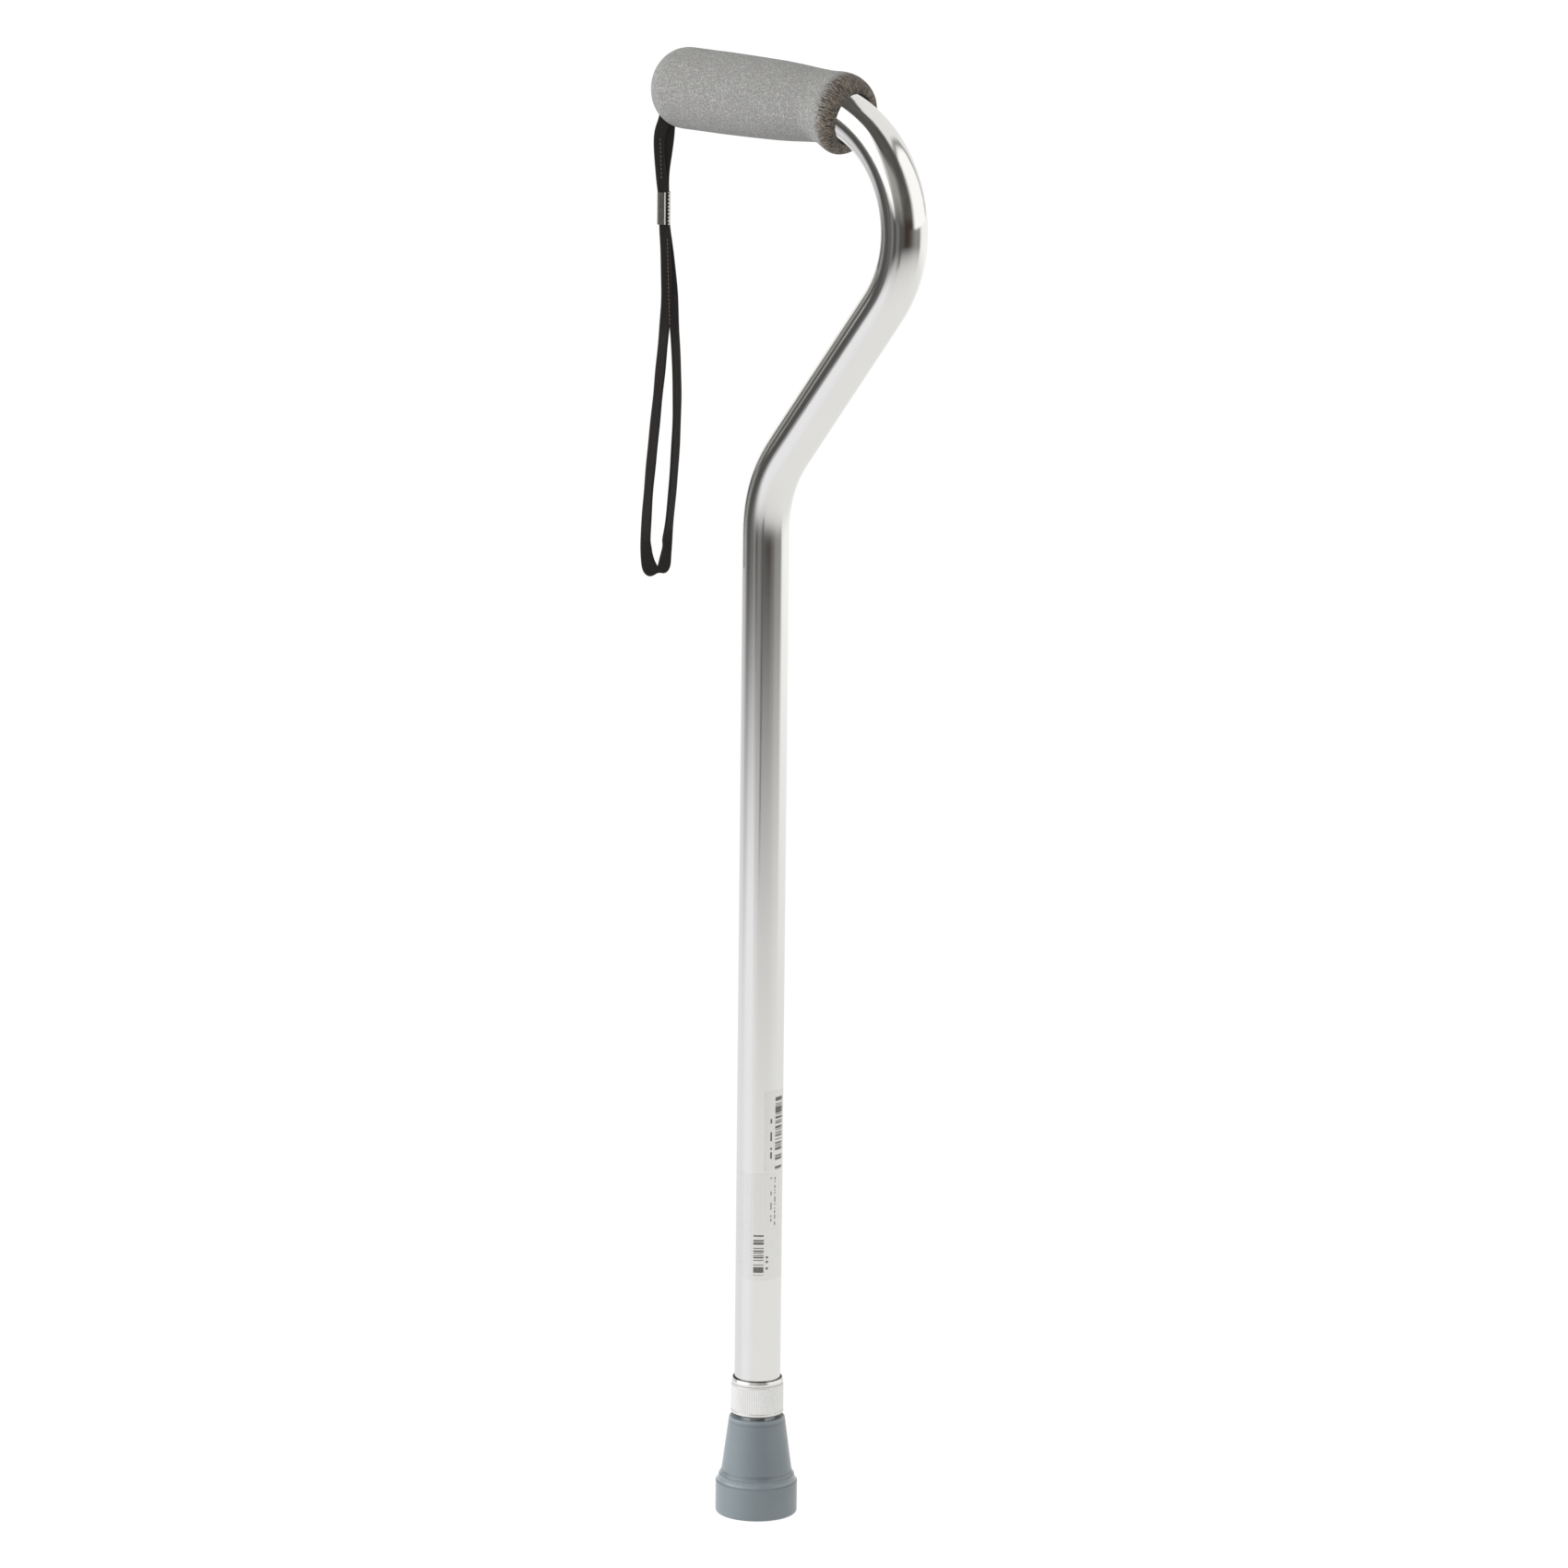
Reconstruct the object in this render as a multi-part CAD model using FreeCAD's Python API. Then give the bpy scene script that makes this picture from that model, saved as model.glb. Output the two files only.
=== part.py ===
import FreeCAD, Part
import math
import os
from FreeCAD import Vector

# Single point cane: a two-piece telescoping aluminium cane with an offset foam-gripped handle,
# a locking ring, a snap button, a rubber tip and a wrist strap.
# Frame: +Z runs up the shaft, the handle points to -X, the plane of the bends is Y = 0,
# and the origin is the centre of the rubber tip's ground face. Shown at its lowest height.
# All lengths are millimetres and all angles are degrees.

# Upper tube, bent into the offset handle
TUBE_RADIUS = 11.1125
TUBE_BORE_RADIUS = 9.9125
TUBE_END_Z = 56.0
SHAFT_TOP_Z = 485.7
BEND_BACK_RADIUS = 61.3
BEND_BACK_ANGLE = 38.2
DIAGONAL_LENGTH = 99.4
BEND_OVER_RADIUS = 55.0
HANDLE_END_X = -50.0
END_CHAMFER = 0.7

# Height adjustment
HOLE_COUNT = 13
HOLE_PITCH = 19.05
HOLE_RADIUS = 3.2
BUTTON_Z = 360.0
BUTTON_RADIUS = 3.1
BUTTON_TIP_X = -12.9
BUTTON_INNER_X = -7.0
BUTTON_FLANGE_RADIUS = 4.2
BUTTON_FLANGE_THICKNESS = 0.8
BUTTON_DOME_HEIGHT = 1.2
BUTTON_DOME_STEPS = 6
BUTTON_HOLE_CLEARANCE = 0.05

# Thread under the locking ring
THREAD_PITCH = 1.0
THREAD_DEPTH = 0.35
THREAD_TURNS = 7
THREAD_START_Z = 58.5

# Lower tube and its fittings
LOWER_RADIUS = 9.525
LOWER_BORE_RADIUS = 8.325
LOWER_BOTTOM_Z = 9.5
LOWER_TOP_Z = 385.0
BUSH_RADIUS = 9.85
BUSH_FLANGE_HEIGHT = 4.0
BUSH_PLUG_HEIGHT = 12.0
BUSH_BORE_RADIUS = 6.3

# Leaf spring behind the button
SPRING_WIDTH = 6.0
SPRING_THICKNESS = 0.5
SPRING_TOP_Z = 366.0
SPRING_KNEE_Z = 352.0
SPRING_BOTTOM_Z = 322.0
SPRING_WALL_X = 7.7
SPRING_BACK_X = BUTTON_INNER_X + BUTTON_FLANGE_THICKNESS

# Locking ring and collet
RING_BOTTOM_Z = 49.9
RING_TOP_Z = 68.1
RING_RADIUS = 12.7
RING_TOP_RADIUS = 11.9
RING_BAND_RADIUS = 12.5
RING_BAND_HEIGHT = 3.1
RING_BEVEL = 1.6
RING_GROOVE_WIDTH = 0.6
RING_GROOVE_DEPTH = 0.5
RING_FLANGE_THICKNESS = 1.3
RING_FLANGE_BORE_RADIUS = 9.65
RING_RUNNING_GAP = 0.05
KNURL_COUNT = 72
KNURL_DEPTH = 0.3
COLLET_GAP = 0.05
COLLET_SLOT = 1.4
COLLET_SLOT_COUNT = 4
COLLET_NOSE_HEIGHT = 0.55
COLLET_LAND_Z = 55.4

# Rubber tip
TIP_BASE_RADIUS = 19.8
TIP_BASE_HEIGHT = 16.4
TIP_EDGE_RADIUS = 1.2
TIP_STEP_RADIUS = 18.3
TIP_STEP_HEIGHT = 17.6
TIP_LIP_HEIGHT = 19.6
TIP_CONE_RADIUS = 16.95
TIP_CONE_BOTTOM_Z = 22.0
TIP_RIM_RADIUS = 13.6
TIP_TOP_Z = 48.4
TIP_RIM_ROUNDING = 1.0
TIP_FLOOR_Z = 8.0
TREAD_PAD_RADIUS = 3.0
TREAD_GROOVE_WIDTH = 1.8
TREAD_RIB_WIDTH = 2.0
TREAD_GROOVE_DEPTH = 1.6
TREAD_GROOVE_COUNT = 4
WASHER_RADIUS = 9.3
WASHER_THICKNESS = 1.5

# Foam grip
GRIP_RADIUS = 19.4
GRIP_DOME_LENGTH = 11.2
GRIP_DOME_STEPS = 12
GRIP_FRONT_X = -68.7
GRIP_TAPER_START_X = 10.0
GRIP_NECK_RADIUS = 18.5
# (distance round the bend from the end of the straight handle, radius of the foam there)
GRIP_FLARE = (
    (0.0, 18.5),
    (4.0, 18.7),
    (8.0, 19.6),
    (12.0, 20.7),
    (15.5, 21.2),
    (18.5, 20.9),
    (21.5, 19.7),
    (23.7, 17.7),
    (25.0, 14.6),
)
PLUG_HEAD_THICKNESS = 3.0
PLUG_STEM_LENGTH = 12.0

# Wrist strap, built flat and then turned about Z and moved to where it leaves the grip
STRAP_TURN = 43.0
STRAP_X = -62.0
STRAP_Y = -7.0
TAPE_WIDTH = 5.0
TAPE_THICKNESS = 1.4
TAPE_RADIUS_FACTOR = 0.45
# (height, sideways position, width, thickness) of the two strands lying together
NECK_STATIONS = (
    (686.0, 0.4, 8.0, 1.6),
    (676.0, 0.4, 11.0, 1.6),
    (671.0, 0.0, 10.9, 1.6),
    (662.0, -0.8, 9.2, 1.6),
    (653.0, -0.7, 7.4, 2.2),
    (644.5, -0.4, 6.4, 2.6),
    (640.9, 0.0, 5.2, 2.8),
    (625.4, 0.0, 5.2, 2.8),
    (618.0, 1.1, 6.1, 2.6),
    (609.0, 2.0, 7.0, 2.2),
    (600.0, 2.7, 7.5, 2.0),
    (591.0, 3.0, 7.9, 1.8),
    (582.5, 2.9, 9.2, 1.6),
    (573.0, 3.0, 10.0, 1.4),
)
# (sideways position, height) of the corners of the loop's centreline, down one side and up the other
LOOP_CORNERS = (
    (0.5, 573.0),
    (-2.7, 537.0),
    (-6.3, 503.0),
    (-8.1, 481.0),
    (-8.4, 470.0),
    (-8.1, 458.3),
    (2.4, 458.6),
    (2.9, 470.0),
    (3.9, 482.0),
    (5.9, 504.0),
    (7.2, 538.0),
    (5.5, 573.0),
)
FERRULE_TOP_Z = 640.9
FERRULE_BOTTOM_Z = 625.4
FERRULE_WIDTH = 6.2
FERRULE_DEPTH = 3.8
FERRULE_BORE_WIDTH = 5.2
FERRULE_BORE_DEPTH = 2.8
FERRULE_ROUNDING = 0.45

# Clear film labels on the shaft: (bottom, top, first angle, last angle), angles round the tube from +X
LABEL_THICKNESS = 0.12
LABEL_UPPER = (173.0, 213.0, -36.0, 50.0)
LABEL_LOWER = (119.0, 172.4, -122.0, 50.0)

UP = Vector(0, 0, 1)
ORIGIN = Vector(0, 0, 0)


def rad(angle):
    return math.radians(angle)


def revolve(points):
    """A solid of revolution from (radius, height) corners about the Z axis."""
    corners = [Vector(r, 0, z) for r, z in points]
    corners.append(corners[0])
    return Part.Face(Part.makePolygon(corners)).revolve(ORIGIN, UP, 360)


def cylinder(radius, bottom, top):
    return Part.makeCylinder(radius, top - bottom, Vector(0, 0, bottom))


def ring(outer, inner, bottom, top):
    return cylinder(outer, bottom, top).cut(cylinder(inner, bottom - 1, top + 1))


def side_drill(radius, height):
    """A rod from the axis out through the -X wall, to cut a hole with."""
    return Part.makeCylinder(radius, 2 * TUBE_RADIUS, Vector(0, 0, height), Vector(-1, 0, 0))


def rounded_corner(cx, cz, radius, start, end, count=6):
    """Points of an arc in a (radius, height) profile, angles measured from the outward direction."""
    angles = [start + (end - start) * i / count for i in range(count + 1)]
    return [(cx + radius * math.cos(rad(a)), cz + radius * math.sin(rad(a))) for a in angles]


def in_plane(angle):
    """Unit vector in the plane Y = 0, turned from +X towards +Z."""
    return Vector(math.cos(rad(angle)), 0, math.sin(rad(angle)))


# Centreline of the bent tube
back_centre = Vector(BEND_BACK_RADIUS, 0, SHAFT_TOP_Z)
diagonal_start = back_centre + in_plane(180 - BEND_BACK_ANGLE) * BEND_BACK_RADIUS
diagonal_dir = in_plane(90 - BEND_BACK_ANGLE)
diagonal_end = diagonal_start + diagonal_dir * DIAGONAL_LENGTH
over_centre = diagonal_end + in_plane(180 - BEND_BACK_ANGLE) * BEND_OVER_RADIUS
HANDLE_Z = over_centre.z + BEND_OVER_RADIUS
HANDLE_START_X = over_centre.x
BEND_OVER_ANGLE = 90 + BEND_BACK_ANGLE


def disc(radius, centre, normal):
    return Part.Face(Part.Wire(Part.makeCircle(radius, centre, normal)))


def bent_rod(radius, bottom_z, end_x):
    """A solid rod that follows the centreline from bottom_z to the handle end."""
    start = Vector(0, 0, bottom_z)
    shaft_top = Vector(0, 0, SHAFT_TOP_Z)
    handle_start = Vector(HANDLE_START_X, 0, HANDLE_Z)
    side = Vector(0, 1, 0)
    pieces = [
        disc(radius, start, UP).extrude(shaft_top - start),
        disc(radius, shaft_top, UP).revolve(back_centre, side, BEND_BACK_ANGLE),
        disc(radius, diagonal_start, diagonal_dir).extrude(diagonal_end - diagonal_start),
        disc(radius, diagonal_end, diagonal_dir).revolve(over_centre, -side, BEND_OVER_ANGLE),
        disc(radius, handle_start, Vector(-1, 0, 0)).extrude(Vector(end_x - HANDLE_START_X, 0, 0)),
    ]
    rod = pieces[0]
    for piece in pieces[1:]:
        rod = rod.fuse(piece)
    return rod


def make_handle_tube():
    tube = bent_rod(TUBE_RADIUS, TUBE_END_Z, HANDLE_END_X)
    tube = tube.cut(bent_rod(TUBE_BORE_RADIUS, TUBE_END_Z, HANDLE_END_X))
    for i in range(HOLE_COUNT):
        height = BUTTON_Z - i * HOLE_PITCH
        tube = tube.cut(side_drill(HOLE_RADIUS, height))
    for i in range(THREAD_TURNS):
        middle = THREAD_START_Z + i * THREAD_PITCH
        groove = revolve([
            (TUBE_RADIUS + THREAD_DEPTH, middle - THREAD_PITCH / 2),
            (TUBE_RADIUS - THREAD_DEPTH, middle),
            (TUBE_RADIUS + THREAD_DEPTH, middle + THREAD_PITCH / 2),
        ])
        tube = tube.cut(groove)
    mouth = revolve([
        (0, TUBE_END_Z - 1),
        (TUBE_BORE_RADIUS + END_CHAMFER + 1, TUBE_END_Z - 1),
        (TUBE_BORE_RADIUS, TUBE_END_Z + END_CHAMFER),
        (0, TUBE_END_Z + END_CHAMFER),
    ])
    return tube.cut(mouth)


def make_end_plug():
    axis = Vector(1, 0, 0)
    head_start = Vector(HANDLE_END_X - PLUG_HEAD_THICKNESS, 0, HANDLE_Z)
    head = Part.makeCylinder(TUBE_RADIUS, PLUG_HEAD_THICKNESS, head_start, axis)
    stem = Part.makeCylinder(TUBE_BORE_RADIUS, PLUG_STEM_LENGTH, Vector(HANDLE_END_X, 0, HANDLE_Z), axis)
    return head.fuse(stem)


def make_grip(neck):
    """The foam: a closed dome, a long body and a flared rear end round the start of the bend."""
    dome_start_x = GRIP_FRONT_X + GRIP_DOME_LENGTH
    dome = [Vector(GRIP_FRONT_X, 0, HANDLE_Z)]
    for i in range(1, GRIP_DOME_STEPS + 1):
        angle = rad(90.0 * i / GRIP_DOME_STEPS)
        x = dome_start_x - GRIP_DOME_LENGTH * math.cos(angle)
        dome.append(Vector(x, 0, HANDLE_Z + GRIP_RADIUS * math.sin(angle)))
    curve = Part.BSplineCurve()
    curve.interpolate(dome)
    taper_start = Vector(GRIP_TAPER_START_X, 0, HANDLE_Z + GRIP_RADIUS)
    neck_edge = Vector(HANDLE_START_X, 0, HANDLE_Z + GRIP_NECK_RADIUS)
    neck_centre = Vector(HANDLE_START_X, 0, HANDLE_Z)
    edges = [
        curve.toShape(),
        Part.makeLine(dome[-1], taper_start),
        Part.makeLine(taper_start, neck_edge),
        Part.makeLine(neck_edge, neck_centre),
        Part.makeLine(neck_centre, dome[0]),
    ]
    straight = Part.Face(Part.Wire(edges)).revolve(neck_centre, Vector(1, 0, 0), 360)
    sections = []
    for distance, radius in GRIP_FLARE:
        angle = 90 - math.degrees(distance / BEND_OVER_RADIUS)
        centre = over_centre + in_plane(angle) * BEND_OVER_RADIUS
        sections.append(Part.Wire(Part.makeCircle(radius, centre, in_plane(angle - 90))))
    flare = Part.makeLoft(sections, True, False)
    grip = straight.fuse(flare)
    grip = grip.cut(bent_rod(TUBE_RADIUS, TUBE_END_Z, HANDLE_END_X - PLUG_HEAD_THICKNESS))
    return grip.cut(neck)


def make_lower_tube():
    tube = ring(LOWER_RADIUS, LOWER_BORE_RADIUS, LOWER_BOTTOM_Z, LOWER_TOP_Z)
    return tube.cut(side_drill(BUTTON_RADIUS + BUTTON_HOLE_CLEARANCE, BUTTON_Z))


def make_guide_bush():
    flange = cylinder(BUSH_RADIUS, LOWER_TOP_Z, LOWER_TOP_Z + BUSH_FLANGE_HEIGHT)
    plug = cylinder(LOWER_BORE_RADIUS, LOWER_TOP_Z - BUSH_PLUG_HEIGHT, LOWER_TOP_Z)
    bore_bottom = LOWER_TOP_Z - BUSH_PLUG_HEIGHT - 1
    bore_top = LOWER_TOP_Z + BUSH_FLANGE_HEIGHT + 1
    return flange.fuse(plug).cut(cylinder(BUSH_BORE_RADIUS, bore_bottom, bore_top))


def make_snap_button():
    """A domed button with a flange that stops it inside the lower tube."""
    length = BUTTON_INNER_X - BUTTON_TIP_X
    corners = [
        (0, 0),
        (BUTTON_FLANGE_RADIUS, 0),
        (BUTTON_FLANGE_RADIUS, BUTTON_FLANGE_THICKNESS),
        (BUTTON_RADIUS, BUTTON_FLANGE_THICKNESS),
    ]
    top = length + BUTTON_FLANGE_THICKNESS
    for i in range(BUTTON_DOME_STEPS):
        angle = rad(90.0 * i / BUTTON_DOME_STEPS)
        height = top - BUTTON_DOME_HEIGHT * (1 - math.sin(angle))
        corners.append((BUTTON_RADIUS * math.cos(angle), height))
    corners.append((0, top))
    button = revolve(corners)
    button.rotate(ORIGIN, Vector(0, 1, 0), -90)
    button.translate(Vector(BUTTON_INNER_X + BUTTON_FLANGE_THICKNESS, 0, BUTTON_Z))
    return button


def make_button_spring():
    """A V of spring strip: one leg behind the button, the other on the far wall of the tube."""
    t = SPRING_THICKNESS
    outline = [
        (SPRING_BACK_X, SPRING_TOP_Z),
        (SPRING_BACK_X, SPRING_KNEE_Z),
        (-t, SPRING_BOTTOM_Z),
        (t, SPRING_BOTTOM_Z),
        (SPRING_WALL_X, SPRING_KNEE_Z),
        (SPRING_WALL_X, SPRING_TOP_Z),
        (SPRING_WALL_X - t, SPRING_TOP_Z),
        (SPRING_WALL_X - t, SPRING_KNEE_Z),
        (0, SPRING_BOTTOM_Z + 3 * t),
        (SPRING_BACK_X + t, SPRING_KNEE_Z),
        (SPRING_BACK_X + t, SPRING_TOP_Z),
    ]
    corners = [Vector(x, -SPRING_WIDTH / 2, z) for x, z in outline]
    corners.append(corners[0])
    return Part.Face(Part.makePolygon(corners)).extrude(Vector(0, SPRING_WIDTH, 0))


def make_locking_ring():
    knurl_top = RING_TOP_Z - RING_BAND_HEIGHT - RING_GROOVE_WIDTH
    knurl_bottom = RING_BOTTOM_Z + RING_BEVEL + RING_GROOVE_WIDTH
    groove_radius = RING_RADIUS - RING_GROOVE_DEPTH
    body = revolve([
        (0, RING_BOTTOM_Z),
        (RING_RADIUS - RING_BEVEL / 2, RING_BOTTOM_Z),
        (RING_RADIUS, RING_BOTTOM_Z + RING_BEVEL / 2),
        (RING_RADIUS, RING_BOTTOM_Z + RING_BEVEL),
        (groove_radius, RING_BOTTOM_Z + RING_BEVEL),
        (groove_radius, RING_TOP_Z - RING_BAND_HEIGHT),
        (RING_BAND_RADIUS, RING_TOP_Z - RING_BAND_HEIGHT),
        (RING_BAND_RADIUS, RING_TOP_Z - RING_BAND_HEIGHT / 2),
        (RING_TOP_RADIUS, RING_TOP_Z),
        (0, RING_TOP_Z),
    ])
    star = []
    for i in range(2 * KNURL_COUNT):
        radius = RING_RADIUS if i % 2 == 0 else RING_RADIUS - KNURL_DEPTH
        angle = rad(180.0 * i / KNURL_COUNT)
        star.append(Vector(radius * math.cos(angle), radius * math.sin(angle), knurl_bottom))
    star.append(star[0])
    knurl = Part.Face(Part.makePolygon(star)).extrude(Vector(0, 0, knurl_top - knurl_bottom))
    cavity_radius = TUBE_RADIUS + RING_RUNNING_GAP
    cavity = cylinder(cavity_radius, RING_BOTTOM_Z + RING_FLANGE_THICKNESS, RING_TOP_Z + 1)
    flange_bore = cylinder(RING_FLANGE_BORE_RADIUS, RING_BOTTOM_Z - 1, RING_TOP_Z)
    return body.fuse(knurl).cut(cavity).cut(flange_bore)


def make_split_collet():
    """A slotted nylon ring with a cone that enters the chamfered mouth of the upper tube."""
    bottom = RING_BOTTOM_Z + RING_FLANGE_THICKNESS
    inner = LOWER_RADIUS + COLLET_GAP
    nose_outer = TUBE_BORE_RADIUS + END_CHAMFER - COLLET_GAP * 2
    collet = revolve([
        (inner, bottom),
        (TUBE_RADIUS, bottom),
        (TUBE_RADIUS, COLLET_LAND_Z),
        (nose_outer, TUBE_END_Z - COLLET_GAP),
        (nose_outer - COLLET_NOSE_HEIGHT, TUBE_END_Z - COLLET_GAP + COLLET_NOSE_HEIGHT),
        (inner, TUBE_END_Z - COLLET_GAP + COLLET_NOSE_HEIGHT),
    ])
    height = TUBE_END_Z + COLLET_NOSE_HEIGHT - bottom
    for i in range(COLLET_SLOT_COUNT):
        slot_bottom = bottom - 1 if i == 0 else bottom + height / 3
        slot_corner = Vector(0, -COLLET_SLOT / 2, slot_bottom)
        slot = Part.makeBox(2 * TUBE_RADIUS, COLLET_SLOT, height + 2, slot_corner)
        slot.rotate(ORIGIN, UP, 360.0 * i / COLLET_SLOT_COUNT)
        collet = collet.cut(slot)
    return collet


def make_rubber_tip():
    profile = [(0, 0)]
    profile += rounded_corner(TIP_BASE_RADIUS - TIP_EDGE_RADIUS, TIP_EDGE_RADIUS, TIP_EDGE_RADIUS, -90, 0)
    profile += [
        (TIP_BASE_RADIUS, TIP_BASE_HEIGHT - TIP_EDGE_RADIUS / 2),
        (TIP_BASE_RADIUS - TIP_EDGE_RADIUS / 2, TIP_BASE_HEIGHT),
        (TIP_STEP_RADIUS + TIP_EDGE_RADIUS / 3, TIP_STEP_HEIGHT),
        (TIP_STEP_RADIUS, TIP_STEP_HEIGHT + TIP_EDGE_RADIUS / 3),
        (TIP_STEP_RADIUS, TIP_LIP_HEIGHT - TIP_EDGE_RADIUS / 3),
        (TIP_STEP_RADIUS - TIP_EDGE_RADIUS / 3, TIP_LIP_HEIGHT),
        (TIP_CONE_RADIUS + TIP_EDGE_RADIUS / 3, TIP_CONE_BOTTOM_Z - TIP_EDGE_RADIUS),
        (TIP_CONE_RADIUS, TIP_CONE_BOTTOM_Z),
        (TIP_RIM_RADIUS, TIP_TOP_Z - TIP_RIM_ROUNDING),
    ]
    rim_centre = TIP_RIM_RADIUS - TIP_RIM_ROUNDING
    profile += rounded_corner(rim_centre, TIP_TOP_Z - TIP_RIM_ROUNDING, TIP_RIM_ROUNDING, 15, 90, 4)
    profile += [(LOWER_RADIUS, TIP_TOP_Z), (LOWER_RADIUS, TIP_FLOOR_Z), (0, TIP_FLOOR_Z)]
    tip = revolve(profile)
    for i in range(TREAD_GROOVE_COUNT):
        inner = TREAD_PAD_RADIUS + i * (TREAD_GROOVE_WIDTH + TREAD_RIB_WIDTH)
        tip = tip.cut(ring(inner + TREAD_GROOVE_WIDTH, inner, -1, TREAD_GROOVE_DEPTH))
    return tip


def make_tip_washer():
    return cylinder(WASHER_RADIUS, TIP_FLOOR_Z, TIP_FLOOR_Z + WASHER_THICKNESS)


def to_strap(shape):
    """Turn a shape built in the strap's flat frame to where the strap hangs."""
    shape.rotate(ORIGIN, UP, STRAP_TURN)
    shape.translate(Vector(STRAP_X, STRAP_Y, 0))
    return shape


def box_section(x, z, width, depth):
    corners = [
        Vector(x - width / 2, -depth / 2, z),
        Vector(x + width / 2, -depth / 2, z),
        Vector(x + width / 2, depth / 2, z),
        Vector(x - width / 2, depth / 2, z),
    ]
    corners.append(corners[0])
    return Part.makePolygon(corners)


def make_strap_neck():
    sections = [box_section(x, z, width, depth) for z, x, width, depth in NECK_STATIONS]
    return to_strap(Part.makeLoft(sections, True, True))


def rounded_path(corners):
    """Straight runs joined by tangent arcs; returns the wire and the arc radii."""
    points = [Vector(x, 0, z) for x, z in corners]
    edges = []
    radii = []
    last = points[0]
    for before, corner, after in zip(points, points[1:], points[2:]):
        leave = (before - corner).normalize()
        join = (after - corner).normalize()
        turn = math.pi - leave.getAngle(join)
        shorter = min((before - corner).Length, (after - corner).Length)
        radius = TAPE_RADIUS_FACTOR * shorter / math.tan(turn / 2)
        trim = TAPE_RADIUS_FACTOR * shorter
        start = corner + leave * trim
        end = corner + join * trim
        bisector = (leave + join).normalize()
        centre = corner + bisector * math.hypot(radius, trim)
        middle = centre - bisector * radius
        edges.append(Part.LineSegment(last, start).toShape())
        edges.append(Part.Arc(start, middle, end).toShape())
        radii.append(radius)
        last = end
    edges.append(Part.LineSegment(last, points[-1]).toShape())
    return Part.Wire(edges), radii


def make_strap_loop():
    path, radii = rounded_path(LOOP_CORNERS)
    start = path.Edges[0].valueAt(path.Edges[0].FirstParameter)
    tangent = path.Edges[0].tangentAt(path.Edges[0].FirstParameter)
    section = box_section(0, 0, TAPE_WIDTH, TAPE_THICKNESS)
    section.rotate(ORIGIN, Vector(0, 1, 0), math.degrees(math.atan2(-tangent.x, -tangent.z)))
    section.translate(start)
    loop = path.makePipeShell([section], True, False)
    print("strap loop arc radii", " ".join("%.1f" % radius for radius in radii))
    print("strap loop length %.1f" % path.Length)
    swept_volume = path.Length * TAPE_WIDTH * TAPE_THICKNESS
    print("strap loop volume / (section x length) %.4f" % (loop.Volume / swept_volume))
    return to_strap(loop)


def make_strap_ferrule():
    height = FERRULE_TOP_Z - FERRULE_BOTTOM_Z
    outer = Part.makeBox(
        FERRULE_WIDTH,
        FERRULE_DEPTH,
        height,
        Vector(-FERRULE_WIDTH / 2, -FERRULE_DEPTH / 2, FERRULE_BOTTOM_Z),
    )
    upright = [edge for edge in outer.Edges if abs(edge.BoundBox.ZLength - height) < 0.01]
    outer = outer.makeFillet(FERRULE_ROUNDING, upright)
    inner = Part.makeBox(
        FERRULE_BORE_WIDTH,
        FERRULE_BORE_DEPTH,
        height,
        Vector(-FERRULE_BORE_WIDTH / 2, -FERRULE_BORE_DEPTH / 2, FERRULE_BOTTOM_Z),
    )
    return to_strap(outer.cut(inner))


def make_label(bottom, top, start_angle, end_angle):
    """A thin film wrapped part of the way round the tube."""
    radius = TUBE_RADIUS + LABEL_THICKNESS
    sweep = end_angle - start_angle
    outer = Part.makeCylinder(radius, top - bottom, Vector(0, 0, bottom), UP, sweep)
    film = outer.cut(cylinder(TUBE_RADIUS, bottom - 1, top + 1))
    film.rotate(ORIGIN, UP, start_angle)
    return film


def main():
    os.makedirs("parts", exist_ok=True)
    neck = make_strap_neck()
    nodes = {
        "handle_tube": make_handle_tube(),
        "handle_end_plug": make_end_plug(),
        "foam_grip": make_grip(neck),
        "strap_neck": neck,
        "strap_loop": make_strap_loop(),
        "strap_ferrule": make_strap_ferrule(),
        "label_upper": make_label(*LABEL_UPPER),
        "label_lower": make_label(*LABEL_LOWER),
        "locking_ring": make_locking_ring(),
        "split_collet": make_split_collet(),
        "lower_tube": make_lower_tube(),
        "guide_bush": make_guide_bush(),
        "snap_button": make_snap_button(),
        "button_spring": make_button_spring(),
        "rubber_tip": make_rubber_tip(),
        "tip_washer": make_tip_washer(),
    }
    for name, shape in nodes.items():
        if len(shape.Solids) == 1:
            shape = shape.Solids[0]
        if not shape.isValid():
            print("NOT VALID", name)
        box = shape.BoundBox
        print("%-16s solids %d volume %9.1f  x %.1f..%.1f y %.1f..%.1f z %.1f..%.1f" % (
            name, len(shape.Solids), shape.Volume,
            box.XMin, box.XMax, box.YMin, box.YMax, box.ZMin, box.ZMax))
        shape.exportStep(os.path.join("parts", name + ".step"))
    print("handle axis z %.2f, straight handle starts at x %.2f" % (HANDLE_Z, HANDLE_START_X))


main()
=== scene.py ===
import math
import bmesh
import bpy
import numpy as np
from mathutils import Matrix, Vector


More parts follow.
